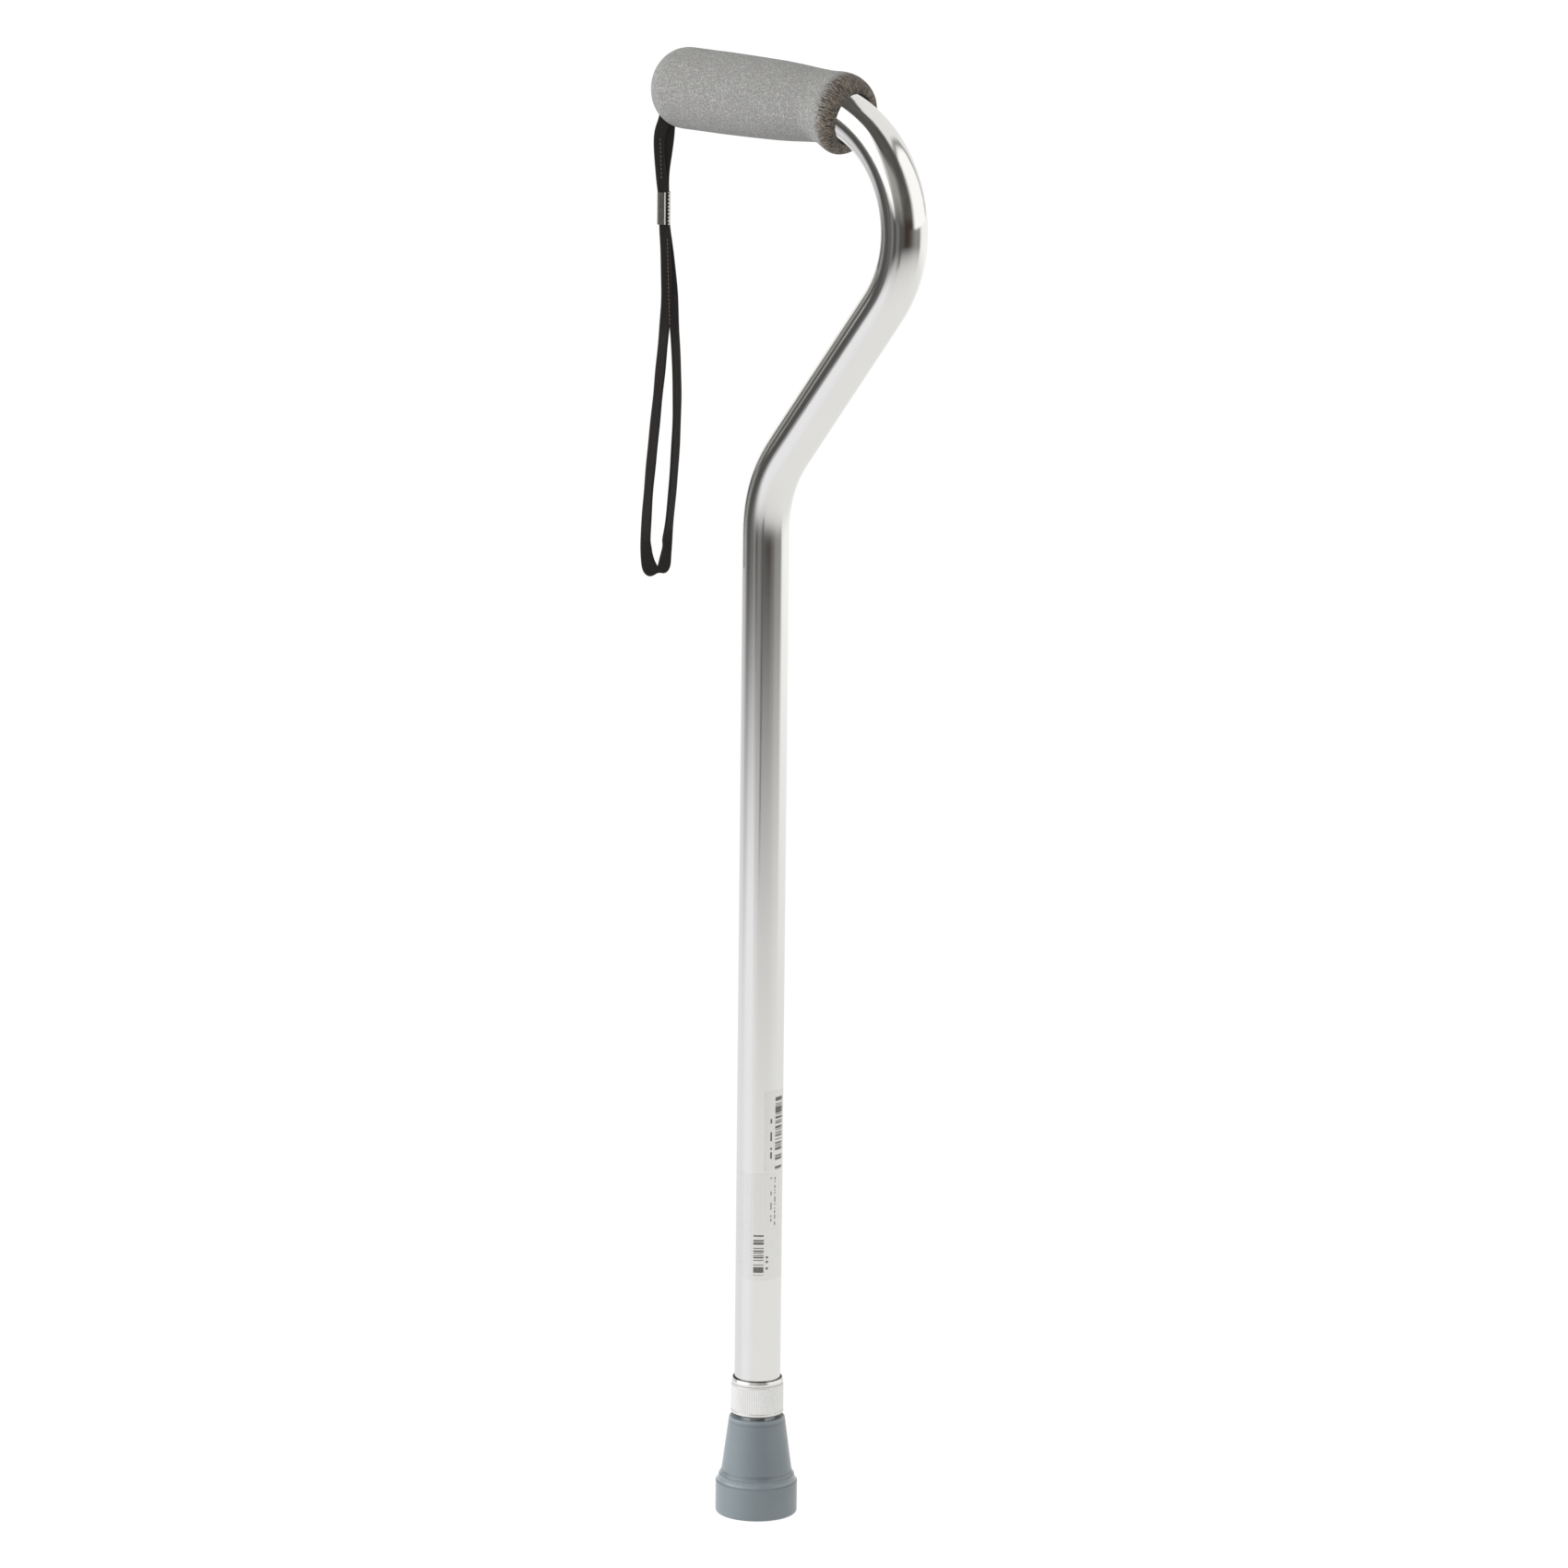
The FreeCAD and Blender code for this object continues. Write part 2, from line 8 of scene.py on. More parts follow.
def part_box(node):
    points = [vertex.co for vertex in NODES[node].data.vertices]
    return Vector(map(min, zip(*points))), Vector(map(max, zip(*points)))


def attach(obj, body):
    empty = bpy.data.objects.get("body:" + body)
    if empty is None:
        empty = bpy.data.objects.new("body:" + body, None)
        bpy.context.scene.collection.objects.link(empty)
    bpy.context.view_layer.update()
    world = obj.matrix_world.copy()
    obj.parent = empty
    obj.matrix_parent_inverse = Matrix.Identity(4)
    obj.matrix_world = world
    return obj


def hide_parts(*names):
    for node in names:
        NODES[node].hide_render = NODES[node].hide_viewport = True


# Looks of the single point cane, in metres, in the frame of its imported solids:
# +Z up the shaft, the handle points to -X, the origin is under the rubber tip.
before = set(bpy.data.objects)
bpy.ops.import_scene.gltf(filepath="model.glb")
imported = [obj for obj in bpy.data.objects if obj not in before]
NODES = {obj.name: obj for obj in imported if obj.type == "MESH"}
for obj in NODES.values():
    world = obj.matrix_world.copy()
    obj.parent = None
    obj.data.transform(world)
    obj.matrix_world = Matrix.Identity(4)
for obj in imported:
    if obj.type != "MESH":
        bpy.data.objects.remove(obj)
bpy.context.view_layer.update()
UP = Vector((0, 0, 1))
MM = 0.001


# ---------------------------------------------------------------- camera

CAMERA_AZIMUTH = 43.0
CAMERA_ELEVATION = 12.23
CAMERA_ROLL = 0.612
CAMERA_DISTANCE = 4.0
CAMERA_TARGET = Vector((0.01347, 0.0, 0.36381))
CAMERA_LENS = 192.72
CAMERA_SENSOR = 36
CAMERA_FAR = 50


def make_camera():
    azimuth = math.radians(CAMERA_AZIMUTH)
    elevation = math.radians(CAMERA_ELEVATION)
    flat = math.cos(elevation)
    back = Vector((math.sin(azimuth) * flat, -math.cos(azimuth) * flat, math.sin(elevation)))
    right = Vector((math.cos(azimuth), math.sin(azimuth), 0))
    up = back.cross(right)
    roll = Matrix.Rotation(math.radians(CAMERA_ROLL), 3, back)
    data = bpy.data.cameras.new("camera")
    data.sensor_width = CAMERA_SENSOR
    data.lens = CAMERA_LENS
    data.clip_end = CAMERA_FAR
    camera = bpy.data.objects.new("camera", data)
    bpy.context.scene.collection.objects.link(camera)
    matrix = Matrix((roll @ right, roll @ up, back)).transposed().to_4x4()
    matrix.translation = CAMERA_TARGET + back * CAMERA_DISTANCE
    camera.matrix_world = matrix
    bpy.context.scene.camera = camera


make_camera()


# ---------------------------------------------------------------- shader helpers

class Nodes:
    """A short way to write a node tree: each call adds one or a few nodes and returns an output."""

    def __init__(self, tree):
        self.tree = tree
        self.tree.nodes.clear()

    def put(self, value, socket):
        """Link the value to the socket if it is an output, and set it there if it is a constant."""
        if isinstance(value, bpy.types.NodeSocket):
            self.tree.links.new(value, socket)
        else:
            socket.default_value = value

    def add(self, kind, inputs=(), output=0, **settings):
        node = self.tree.nodes.new(kind)
        for name, value in settings.items():
            setattr(node, name, value)
        for socket, value in dict(inputs).items():
            self.put(value, node.inputs[socket])
        return node.outputs[output] if len(node.outputs) else node

    def math(self, operation, a, b=0.0, c=0.0, clamp=False):
        return self.add("ShaderNodeMath", {0: a, 1: b, 2: c}, operation=operation, use_clamp=clamp)

    def vector(self, operation, a, b, output=0):
        return self.add("ShaderNodeVectorMath", {0: a, 1: b}, output, operation=operation)

    def product(self, first, *others):
        for other in others:
            first = self.math("MULTIPLY", first, other)
        return first

    def most(self, first, *others):
        for other in others:
            first = self.math("MAXIMUM", first, other)
        return first

    def rest(self, value):
        """What the value leaves of 1."""
        return self.math("SUBTRACT", 1.0, value)

    def length(self, x, y):
        squares = self.math("ADD", self.math("MULTIPLY", x, x), self.math("MULTIPLY", y, y))
        return self.math("SQRT", squares)

    def split(self, vector):
        """The x, y and z of a vector."""
        return tuple(self.add("ShaderNodeSeparateXYZ", {0: vector}).node.outputs)

    def smooth(self, value, low, high):
        """0 below low, 1 above high, smooth between."""
        return self.add(
            "ShaderNodeMapRange",
            {"Value": value, "From Min": low, "From Max": high},
            interpolation_type="SMOOTHSTEP",
        )

    def spread(self, value, low, high):
        """Low where the value is 0, high where it is 1."""
        return self.add("ShaderNodeMapRange", {"Value": value, "To Min": low, "To Max": high})

    def mix(self, factor, a, b):
        node = self.tree.nodes.new("ShaderNodeMix")
        node.data_type = "RGBA"
        # inputs 6 and 7 and output 2 are the colour ones
        for value, index in ((factor, 0), (a, 6), (b, 7)):
            self.put(value, node.inputs[index])
        return node.outputs[2]

    def band(self, value, low, high, soft):
        """1 between low and high, with soft edges."""
        rise = self.smooth(value, low - soft, low + soft)
        fall = self.smooth(value, high - soft, high + soft)
        return self.product(rise, self.rest(fall))

    def noise(self, vector, scale, detail=2.0, roughness=0.5):
        inputs = {"Vector": vector, "Scale": scale, "Detail": detail, "Roughness": roughness}
        return self.add("ShaderNodeTexNoise", inputs)

    def scaled(self, vector, x, y, z):
        return self.vector("MULTIPLY", vector, (x, y, z))

    def bump(self, height, strength, distance):
        return self.add("ShaderNodeBump", {"Height": height, "Strength": strength, "Distance": distance})

    def place(self):
        """Where the shaded point is on its object."""
        return self.add("ShaderNodeTexCoord", output="Object")

    def attribute(self, name, output="Fac"):
        return self.add("ShaderNodeAttribute", output=output, attribute_name=name)


def material(name, base, metallic=0.0, roughness=0.5, specular=0.5):
    """A material with one Principled shader; returns the material, its node writer and the shader."""
    made = bpy.data.materials.new(name)
    made.use_nodes = True
    nodes = Nodes(made.node_tree)
    shader = made.node_tree.nodes.new("ShaderNodeBsdfPrincipled")
    shader.inputs["Base Color"].default_value = base
    shader.inputs["Metallic"].default_value = metallic
    shader.inputs["Roughness"].default_value = roughness
    shader.inputs["Specular IOR Level"].default_value = specular
    nodes.add("ShaderNodeOutputMaterial", {"Surface": shader.outputs[0]})
    return made, nodes, shader


def feed(nodes, shader, **links):
    for socket, value in links.items():
        nodes.tree.links.new(value, shader.inputs[socket.replace("_", " ")])


def srgb(r, g, b):
    """Linear colour from the usual 0 to 255 values."""
    def one(v):
        v = v / 255
        return v / 12.92 if v <= 0.04045 else ((v + 0.055) / 1.055) ** 2.4
    return (one(r), one(g), one(b), 1)


def darker(tone, share):
    """The colour at this share of its brightness."""
    return (*(v * share for v in tone[:3]), 1)


def paint(node, made):
    slots = NODES[node].data.materials
    slots.clear()
    slots.append(made)


# ---------------------------------------------------------------- shape helpers

def ramp(value, start, length):
    """0 up to start, 1 from start plus length on, straight between."""
    return min(max((value - start) / length, 0.0), 1.0)


def ease(share):
    """The same share with a soft start and end."""
    return share * share * (3 - 2 * share)


def step(value, middle, spread):
    """0 well before the middle, 1 well past it. A negative spread turns it round."""
    return 1 / (1 + math.exp(-(value - middle) / spread))


def circle(around):
    return [2 * math.pi * j / around for j in range(around)]


def ring_faces(rings, around, start=0, closed=True, inward=False):
    """Quads between rings of vertices that follow each other from number start on."""
    faces = []
    for i in range(rings - 1):
        for j in range(around if closed else around - 1):
            a = start + i * around + j
            b = start + i * around + (j + 1) % around
            faces.append((b, a, a + around, b + around) if inward else (a, b, b + around, a + around))
    return faces


def object_from(name, vertices, faces, made, smooth=True):
    mesh = bpy.data.meshes.new(name)
    mesh.from_pydata([tuple(v) for v in vertices], [], faces)
    mesh.validate()
    mesh.update()
    if made is not None:
        mesh.materials.append(made)
    mesh.polygons.foreach_set("use_smooth", [smooth] * len(mesh.polygons))
    piece = bpy.data.objects.new(name, mesh)
    bpy.context.scene.collection.objects.link(piece)
    return piece


def smooth_line(points):
    """Points along the smooth line that the given points pull into shape."""
    curve = bpy.data.curves.new("route", "CURVE")
    curve.dimensions = "3D"
    curve.resolution_u = 10
    spline = curve.splines.new("NURBS")
    spline.points.add(len(points) - 1)
    for place, point in zip(spline.points, points):
        place.co = (*point, 1)
    spline.order_u = 3
    spline.use_endpoint_u = True
    holder = bpy.data.objects.new("route", curve)
    bpy.context.scene.collection.objects.link(holder)
    bpy.context.view_layer.update()
    mesh = bpy.data.meshes.new_from_object(holder)
    line = [v.co.copy() for v in mesh.vertices]
    bpy.data.objects.remove(holder)
    bpy.data.meshes.remove(mesh)
    return line


def resample(line, pitch):
    """The same line with evenly spaced points, and how far along it each one is."""
    at = np.array([tuple(p) for p in line])
    run = np.r_[0, np.cumsum(np.linalg.norm(np.diff(at, axis=0), axis=1))]
    count = max(int(round(run[-1] / pitch)), 2)
    want = np.linspace(0, run[-1], count + 1)
    even = np.stack([np.interp(want, run, at[:, i]) for i in range(3)], -1)
    return [Vector(p) for p in even], want


# ---------------------------------------------------------------- strap

# The strap hangs in one upright plane that faces the viewer: S runs sideways in it, D away from the viewer.
STRAP_TURN = math.radians(CAMERA_AZIMUTH)
S = Vector((math.cos(STRAP_TURN), math.sin(STRAP_TURN), 0))
D = Vector((-math.sin(STRAP_TURN), math.cos(STRAP_TURN), 0))
STRAP_ORIGIN = Vector((-0.062, -0.007, 0.0))
STRAP_STEP = 0.0008
TAPE_WIDTH = 0.005
TAPE_THICKNESS = 0.0013
# Half of the tape's section, from its middle to its edge: (share of half width, share of half thickness)
TAPE_SECTION = ((0.0, 0.92), (0.3, 1.0), (0.6, 0.98), (0.82, 1.0), (0.94, 0.72), (1.0, 0.25))
# The tape is narrower at the crimp and wider where it comes out of the foam.
CRIMP_Z = 0.6331
CRIMP_REACH = 0.009
CRIMP_SQUEEZE = 0.12
ENTRY_Z = 0.664
ENTRY_SPREAD = 0.003
ENTRY_GAIN = 0.12
# In the open part of the loop it hangs a little turned, the rising strand more than the falling one.
# The ends of that part are (height, spread), the turns are in radians.
OPEN_BOTTOM = (0.474, 0.003)
OPEN_TOP = (0.577, -0.004)
FALLING_TURN = 0.40
RISING_TURN = 0.72
# Soft webbing is uneven: (share of its width, two waves) and (turn, its wave), waves in radians a metre
RIPPLE = (0.05, 210, 57)
SWAY = (0.06, 33.0)
# Route of the tape in millimetres: (sideways, depth, height)
STRAP_ROUTE = (
    (1.3, -0.55, 683.0),
    (0.2, -0.55, 676.0),
    (-2.3, -0.6, 669.5),
    (-2.75, -0.7, 661.0),
    (-1.4, -0.75, 649.0),
    (-0.35, -0.8, 638.0),
    (0.0, -0.8, 627.0),
    (0.9, -0.7, 613.0),
    (1.6, -0.3, 597.0),
    (1.1, 0.0, 581.0),
    (-1.0, 0.1, 556.0),
    (-3.9, -0.1, 525.0),
    (-6.4, -0.3, 497.0),
    (-7.5, -0.2, 478.0),
    (-7.8, -0.1, 467.0),
    (-6.5, 0.0, 455.9),
    (-1.9, 0.1, 459.6),
    (2.2, 0.2, 458.0),
    (2.3, 0.2, 469.0),
    (3.9, 0.2, 483.0),
    (5.9, 0.3, 507.0),
    (7.2, 0.2, 537.0),
    (6.4, 0.1, 563.0),
    (5.0, 0.1, 581.0),
    (4.2, 0.4, 597.0),
    (2.2, 0.7, 613.0),
    (0.3, 0.8, 627.0),
    (0.1, 0.8, 638.0),
    (-0.1, 0.75, 649.0),
    (1.3, 0.7, 660.0),
    (2.4, 0.6, 671.0),
    (2.3, 0.55, 682.0),
)
# The folded bottom of the loop closes to a sharp notch on its inside. Its two edges, from the notch up:
# (sideways, height) in millimetres.
NOTCH_LEFT = ((-1.75, 460.1), (-2.6, 461.6), (-3.4, 463.4), (-4.3, 466.6), (-4.7, 469.5), (-4.85, 473.5))
NOTCH_RIGHT = ((-1.75, 460.1), (-1.1, 463.0), (-0.5, 465.5), (0.2, 468.4), (0.8, 471.0), (1.2, 473.5))
NOTCH_FADE = 5.0


def strap_point(side, depth, height):
    return STRAP_ORIGIN + (S * side + D * depth + UP * height) * MM


def webbing_material():
    made, n, shader = material("webbing_black", srgb(38, 36, 35), roughness=0.82, specular=0.25)
    along, across = n.split(n.add("ShaderNodeUVMap", uv_map="along"))[:2]
    # chevron ribs that run out from the middle of the tape
    middle = n.math("ABSOLUTE", n.math("SUBTRACT", across, 0.5))
    slant = n.math("ADD", n.math("MULTIPLY", along, 1150.0), n.math("MULTIPLY", middle, 3.4))
    rib = n.math("PINGPONG", slant, 0.5)
    warp = n.math("PINGPONG", n.math("MULTIPLY", across, 11.0), 0.5)
    weave = n.product(n.smooth(rib, 0.04, 0.42), n.smooth(warp, 0.0, 0.3))
    fuzz = n.noise(n.place(), 2600.0, 3.0, 0.6)
    tone = n.product(n.spread(weave, 0.45, 1.0), n.spread(fuzz, 0.55, 1.35))
    colour = n.mix(tone, srgb(11, 10, 9), srgb(47, 43, 41))
    height = n.math("ADD", weave, n.math("MULTIPLY", fuzz, 0.35))
    feed(n, shader, Base_Color=colour, Normal=n.bump(height, 0.7, 0.00012))
    shader.inputs["Sheen Weight"].default_value = 0.25
    shader.inputs["Sheen Roughness"].default_value = 0.5
    return made


def notch_share(z):
    """How far the inner edge at this height is drawn to the notch: 0 above the fold, 1 in it."""
    return ease(ramp(NOTCH_RIGHT[-1][1] - z / MM, 0.0, NOTCH_FADE))


def notch_edge(point, falling):
    """The inner edge of the tape beside a point of its middle line in the fold."""
    sides, heights = zip(*(NOTCH_LEFT if falling else NOTCH_RIGHT))
    height = max(point.z / MM, heights[0])
    depth = (point - STRAP_ORIGIN).dot(D) / MM
    return strap_point(float(np.interp(height, heights, sides)), depth, height)


def half_width(z, run):
    """Half the tape's width at a height and a distance along it."""
    squeeze = 1 - CRIMP_SQUEEZE * math.exp(-((z - CRIMP_Z) / CRIMP_REACH) ** 2)
    squeeze *= 1 + ENTRY_GAIN * step(z, ENTRY_Z, ENTRY_SPREAD)
    share, short, long = RIPPLE
    return TAPE_WIDTH / 2 * squeeze * (1 + share * math.sin(run * short) * math.sin(run * long))


def make_strap():
    line = smooth_line([strap_point(*p) for p in STRAP_ROUTE])
    line, run = resample(line, STRAP_STEP)
    upper = [(-x, y) for x, y in reversed(TAPE_SECTION)] + list(TAPE_SECTION[1:])
    outline = upper + [(x, -y) for x, y in reversed(upper)]
    vertices = []
    alongs = []
    for i, point in enumerate(line):
        falling = i < len(line) / 2
        tangent = (line[min(i + 3, len(line) - 1)] - line[max(i - 3, 0)]).normalized()
        side = D.cross(tangent).normalized()
        half = half_width(point.z, run[i])
        open_part = step(point.z, *OPEN_BOTTOM) * step(point.z, *OPEN_TOP)
        twist = SWAY[0] * math.sin(run[i] * SWAY[1])
        twist += open_part * (FALLING_TURN if falling else RISING_TURN)
        flat = (side * math.cos(twist) + D * math.sin(twist)).normalized()
        normal = tangent.cross(flat).normalized()
        fold = notch_share(point.z)
        edge = notch_edge(point, falling)
        for x, y in outline:
            # the inside of the loop is on the negative side of the tape
            across = flat * half * x
            if x < 0 and fold > 0:
                across = across * (1 - fold) + (edge - point) * (fold * -x)
            vertices.append(point + across + normal * (y * TAPE_THICKNESS / 2))
            alongs.append((run[i], (x + 1) / 2))
    count = len(outline)
    faces = ring_faces(len(line), count)
    faces.append(tuple(reversed(range(count))))
    faces.append(tuple((len(line) - 1) * count + j for j in range(count)))
    strap = object_from("wrist_strap", vertices, faces, webbing_material())
    layer = strap.data.uv_layers.new(name="along")
    for loop in strap.data.loops:
        layer.data[loop.index].uv = alongs[loop.vertex_index]
    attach(strap, "handle")
    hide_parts("strap_neck", "strap_loop")
    return strap, line, run[-1]


# Rows of thread, in millimetres:
# (sideways at the top, top, sideways at the bottom, bottom, depth of the tape's skin)
STITCH_ROWS = ((-2.0, 667.0, -1.2, 647.0, 1.47), (1.7, 619.0, 3.2, 577.0, 1.33))
STITCH_PITCH = 1.9
STITCH_LENGTH = 1.0
STITCH_HALF_WIDTH = 0.2
STITCH_HALF_DEPTH = 0.16
STITCH_RISE = 0.112
STITCH_SIDES = 6
# Places of the rings of each stitch, as shares of its length from its middle
STITCH_RINGS = (-0.5, -0.25, 0.25, 0.5)


def make_stitches():
    """Rows of thread through the two strands, above and below the crimp, in front and behind."""
    made, n, shader = material("stitch_black", srgb(30, 29, 29), roughness=0.6, specular=0.4)
    fibre = n.noise(n.place(), 5200.0, 2.0)
    colour = n.mix(fibre, srgb(66, 60, 56), srgb(150, 141, 133))
    feed(n, shader, Base_Color=colour, Normal=n.bump(fibre, 0.5, 0.00008))
    vertices = []
    faces = []
    last = STITCH_SIDES * (len(STITCH_RINGS) - 1)
    for side_top, top, side_bottom, bottom, skin in STITCH_ROWS:
        count = int((top - bottom) / STITCH_PITCH)
        for i in range(count):
            t = (i + 0.5) / count
            side = side_top + (side_bottom - side_top) * t
            height = top + (bottom - top) * t
            for face_side in (-1, 1):
                start = len(vertices)
                for along in STITCH_RINGS:
                    lift = STITCH_RISE * math.cos(along * 2.6)
                    for turn in circle(STITCH_SIDES):
                        x = side + STITCH_HALF_WIDTH * math.cos(turn)
                        depth = face_side * (skin + lift) + STITCH_HALF_DEPTH * math.sin(turn)
                        vertices.append(strap_point(x, depth, height + along * STITCH_LENGTH))
                faces += ring_faces(len(STITCH_RINGS), STITCH_SIDES, start)
                faces.append(tuple(start + j for j in reversed(range(STITCH_SIDES))))
                faces.append(tuple(start + last + j for j in range(STITCH_SIDES)))
    stitches = object_from("strap_stitches", vertices, faces, made)
    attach(stitches, "handle")
    return stitches


# Section of the crimp's strip seen from above, from its plain edge round to its toothed edge:
# (sideways, depth) in millimetres
CRIMP_SECTION = (
    (0.8, -1.32), (0.12, -2.16), (-0.2, -2.16), (-2.3, -1.76), (-2.8, -1.45), (-3.0, -0.8), (-3.0, 0.8),
    (-2.8, 1.45), (-2.3, 1.72), (2.2, 1.72), (2.8, 1.4), (3.0, 0.6), (3.0, -0.8), (2.92, -0.95),
)
# The toothed edge: (sideways, depth) between the teeth and at their tips
CRIMP_GAP = (2.8, -1.15)
CRIMP_TOOTH = (1.8, -1.85)
CRIMP_TEETH = 9.0
CRIMP_ROWS = 56
CRIMP_SHEET = 0.00034
# The edges painted white as a highlight, sideways in metres, and the depth in front of which they lie
CRIMP_LIP_HIGHLIGHT = (0.0002, 0.0009)
CRIMP_TIPS_HIGHLIGHT = (0.0017, 0.0019)
CRIMP_FRONT = -0.0008


def crimp_material():
    made, n, shader = material("ferrule_steel", srgb(200, 199, 196), metallic=1.0, roughness=0.2)
    place = n.place()
    grain = n.noise(n.scaled(place, 900.0, 900.0, 90.0), 1.0, 3.0)
    worn = n.noise(place, 420.0, 3.0)
    shift = n.vector("SUBTRACT", place, tuple(STRAP_ORIGIN))
    side = n.vector("DOT_PRODUCT", shift, tuple(S), output=1)
    deep = n.vector("DOT_PRODUCT", shift, tuple(D), output=1)
    # painted highlight: the lip and the tooth tips in front are painted white and made mostly not metal,
    # standing in for the glint of light on them
    edge = n.most(n.band(side, *CRIMP_LIP_HIGHLIGHT, 0.0001), n.smooth(side, *CRIMP_TIPS_HIGHLIGHT))
    edge = n.product(edge, n.math("LESS_THAN", deep, CRIMP_FRONT))
    plate = n.mix(worn, srgb(150, 149, 147), srgb(206, 205, 202))
    feed(
        n, shader,
        Base_Color=n.mix(edge, plate, (0.93, 0.93, 0.92, 1)),
        Metallic=n.rest(n.product(edge, 0.8)),
        Roughness=n.spread(grain, 0.2, 0.3),
        Normal=n.bump(grain, 0.08, 0.00002),
    )
    return made


def make_crimp():
    """A strip of plated sheet bent round both strands, with a toothed edge beside the plain one."""
    low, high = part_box("strap_ferrule")
    bottom, top = low.z / MM, high.z / MM
    vertices = []
    for i in range(CRIMP_ROWS + 1):
        t = i / CRIMP_ROWS
        height = bottom + (top - bottom) * t
        for side, depth in CRIMP_SECTION:
            vertices.append(strap_point(side, depth, height))
        tooth = abs((t * CRIMP_TEETH) % 1.0 - 0.5) * 2
        side, depth = (a + (b - a) * tooth for a, b in zip(CRIMP_GAP, CRIMP_TOOTH))
        vertices.append(strap_point(side, depth, height))
    faces = ring_faces(CRIMP_ROWS + 1, len(CRIMP_SECTION) + 1, closed=False)
    crimp = object_from("strap_crimp", vertices, faces, crimp_material(), smooth=False)
    solid = crimp.modifiers.new("sheet", "SOLIDIFY")
    solid.thickness = CRIMP_SHEET
    solid.offset = 0
    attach(crimp, "handle")
    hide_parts("strap_ferrule")
    return crimp


strap, strap_line, strap_length = make_strap()
stitches = make_stitches()
crimp = make_crimp()


# ---------------------------------------------------------------- foam grip

TUBE_RADIUS = 0.0111125
HANDLE_Z = 0.69074
HANDLE_START_X = 0.03137
BEND_RADIUS = 0.055
BEND_CENTRE = Vector((HANDLE_START_X, 0, HANDLE_Z - BEND_RADIUS))
# Outline of the foam as (distance along the handle from its straight part's end, radius), in millimetres.
# Below zero is the straight part, above zero the start of the bend.
GRIP_FRONT = -100.07
GRIP_RADIUS = 19.35
DOME_LENGTH = 15.7
DOME_FULLNESS = 2.15
GRIP_WAIST = (
    (-60.0, 19.35), (-40.0, 19.1), (-24.0, 18.7), (-14.0, 18.2), (-6.0, 17.6), (0.0, 17.15), (4.0, 17.1),
    (7.5, 17.5), (10.5, 18.1), (13.2, 18.6),
)
RIM_START = 15.8
RIM_RADIUS = 18.8
RIM_LENGTH = 7.2
RIM_HEIGHT = 5.0
LIP_LENGTH = 2.2
LIP_RADIUS = 11.25
LIP_DEPTH = 2.0
LIP_PINCH = 0.1
OUTLINE_STATIONS = 260
OUTLINE_SMOOTHING = 7
GRIP_AROUND = 144
# The end face leans back from square to the bend: millimetres along for each millimetre out.
GRIP_END_LEAN = 0.2
# Where it begins to lean and over what distance, and the same for the cut end's brown fibres and painted
# shade, in millimetres
LEAN_ALONG = (2, 16)
CUT_ALONG = (12.5, 8.5)
# The rear end stands out less above the tube than below it, by this share from this place on.
UPPER_LOSS = 0.012
UPPER_ALONG = (6, 8)
# The hand has pressed the foam a little out of round:
# (share of the radius, waves round it, drift in radians per millimetre along)
WOBBLES = ((0.0011, 3, 0.05), (0.0008, 2, 0.21))
# Up to the first radius the foam is true round, and this much further out it is fully out of round.
TRUE_ROUND = (11.5, 4)
# The painted shade in the crease round the tube: behind this place, up to this radius, with this soft edge
MOUTH_START = 15
MOUTH_RADIUS = 12.6
MOUTH_SOFT = 0.6
# Size of the fibre pattern in widths of a strand: radius of its circle, and length per millimetre of outline
STRANDS_RADIUS = 46
STRANDS_ALONG = 0.38


def handle_frame(distance):
    """The centre and axis of the handle at a distance in metres past the end of its straight part."""
    if distance <= 0:
        return Vector((HANDLE_START_X + distance, 0, HANDLE_Z)), Vector((1, 0, 0))
    angle = distance / BEND_RADIUS
    outward = Vector((math.sin(angle), 0, math.cos(angle)))
    return BEND_CENTRE + outward * BEND_RADIUS, Vector((math.cos(angle), 0, -math.sin(angle)))


def grip_outline():
    """A full dome in front, the worn waist, and a rim that rolls over to a lip on the tube."""
    points = []
    for turn in np.radians(np.linspace(0, 90, 13)):
        share = math.cos(turn)
        radius = GRIP_RADIUS * (1 - share ** DOME_FULLNESS) ** (1 / DOME_FULLNESS)
        points.append((GRIP_FRONT + DOME_LENGTH * (1 - share), radius))
    points += GRIP_WAIST
    middle = RIM_RADIUS - RIM_HEIGHT
    end = RIM_START + RIM_LENGTH
    for turn in np.radians(np.linspace(90, 0, 9)):
        points.append((RIM_START + RIM_LENGTH * math.cos(turn), middle + RIM_HEIGHT * math.sin(turn)))
    for turn in np.radians(np.linspace(15, 90, 6)):
        lip = (middle - LIP_RADIUS) * math.sin(turn)
        points.append((end - LIP_LENGTH * (1 - math.cos(turn)), middle - lip))
    points.append((end - LIP_LENGTH - LIP_DEPTH, LIP_RADIUS - LIP_PINCH))
    return np.array(points)


def soft_outline():
    """Evenly spaced stations of a rounded outline, and how far along it each one is."""
    at = grip_outline()
    run = np.r_[0, np.cumsum(np.linalg.norm(np.diff(at, axis=0), axis=1))]
    want = np.linspace(0, run[-1], OUTLINE_STATIONS)
    curve = np.stack([np.interp(want, run, at[:, 0]), np.interp(want, run, at[:, 1])], -1)
    kernel = np.hanning(OUTLINE_SMOOTHING)
    kernel /= kernel.sum()
    half = OUTLINE_SMOOTHING // 2
    padded = np.pad(curve, ((half, half), (0, 0)), mode="edge")
    curve = np.stack([np.convolve(padded[:, i], kernel, mode="valid") for i in range(2)], -1)
    # the tip of the dome stays on the axis
    curve[0] = at[0]
    return curve, want


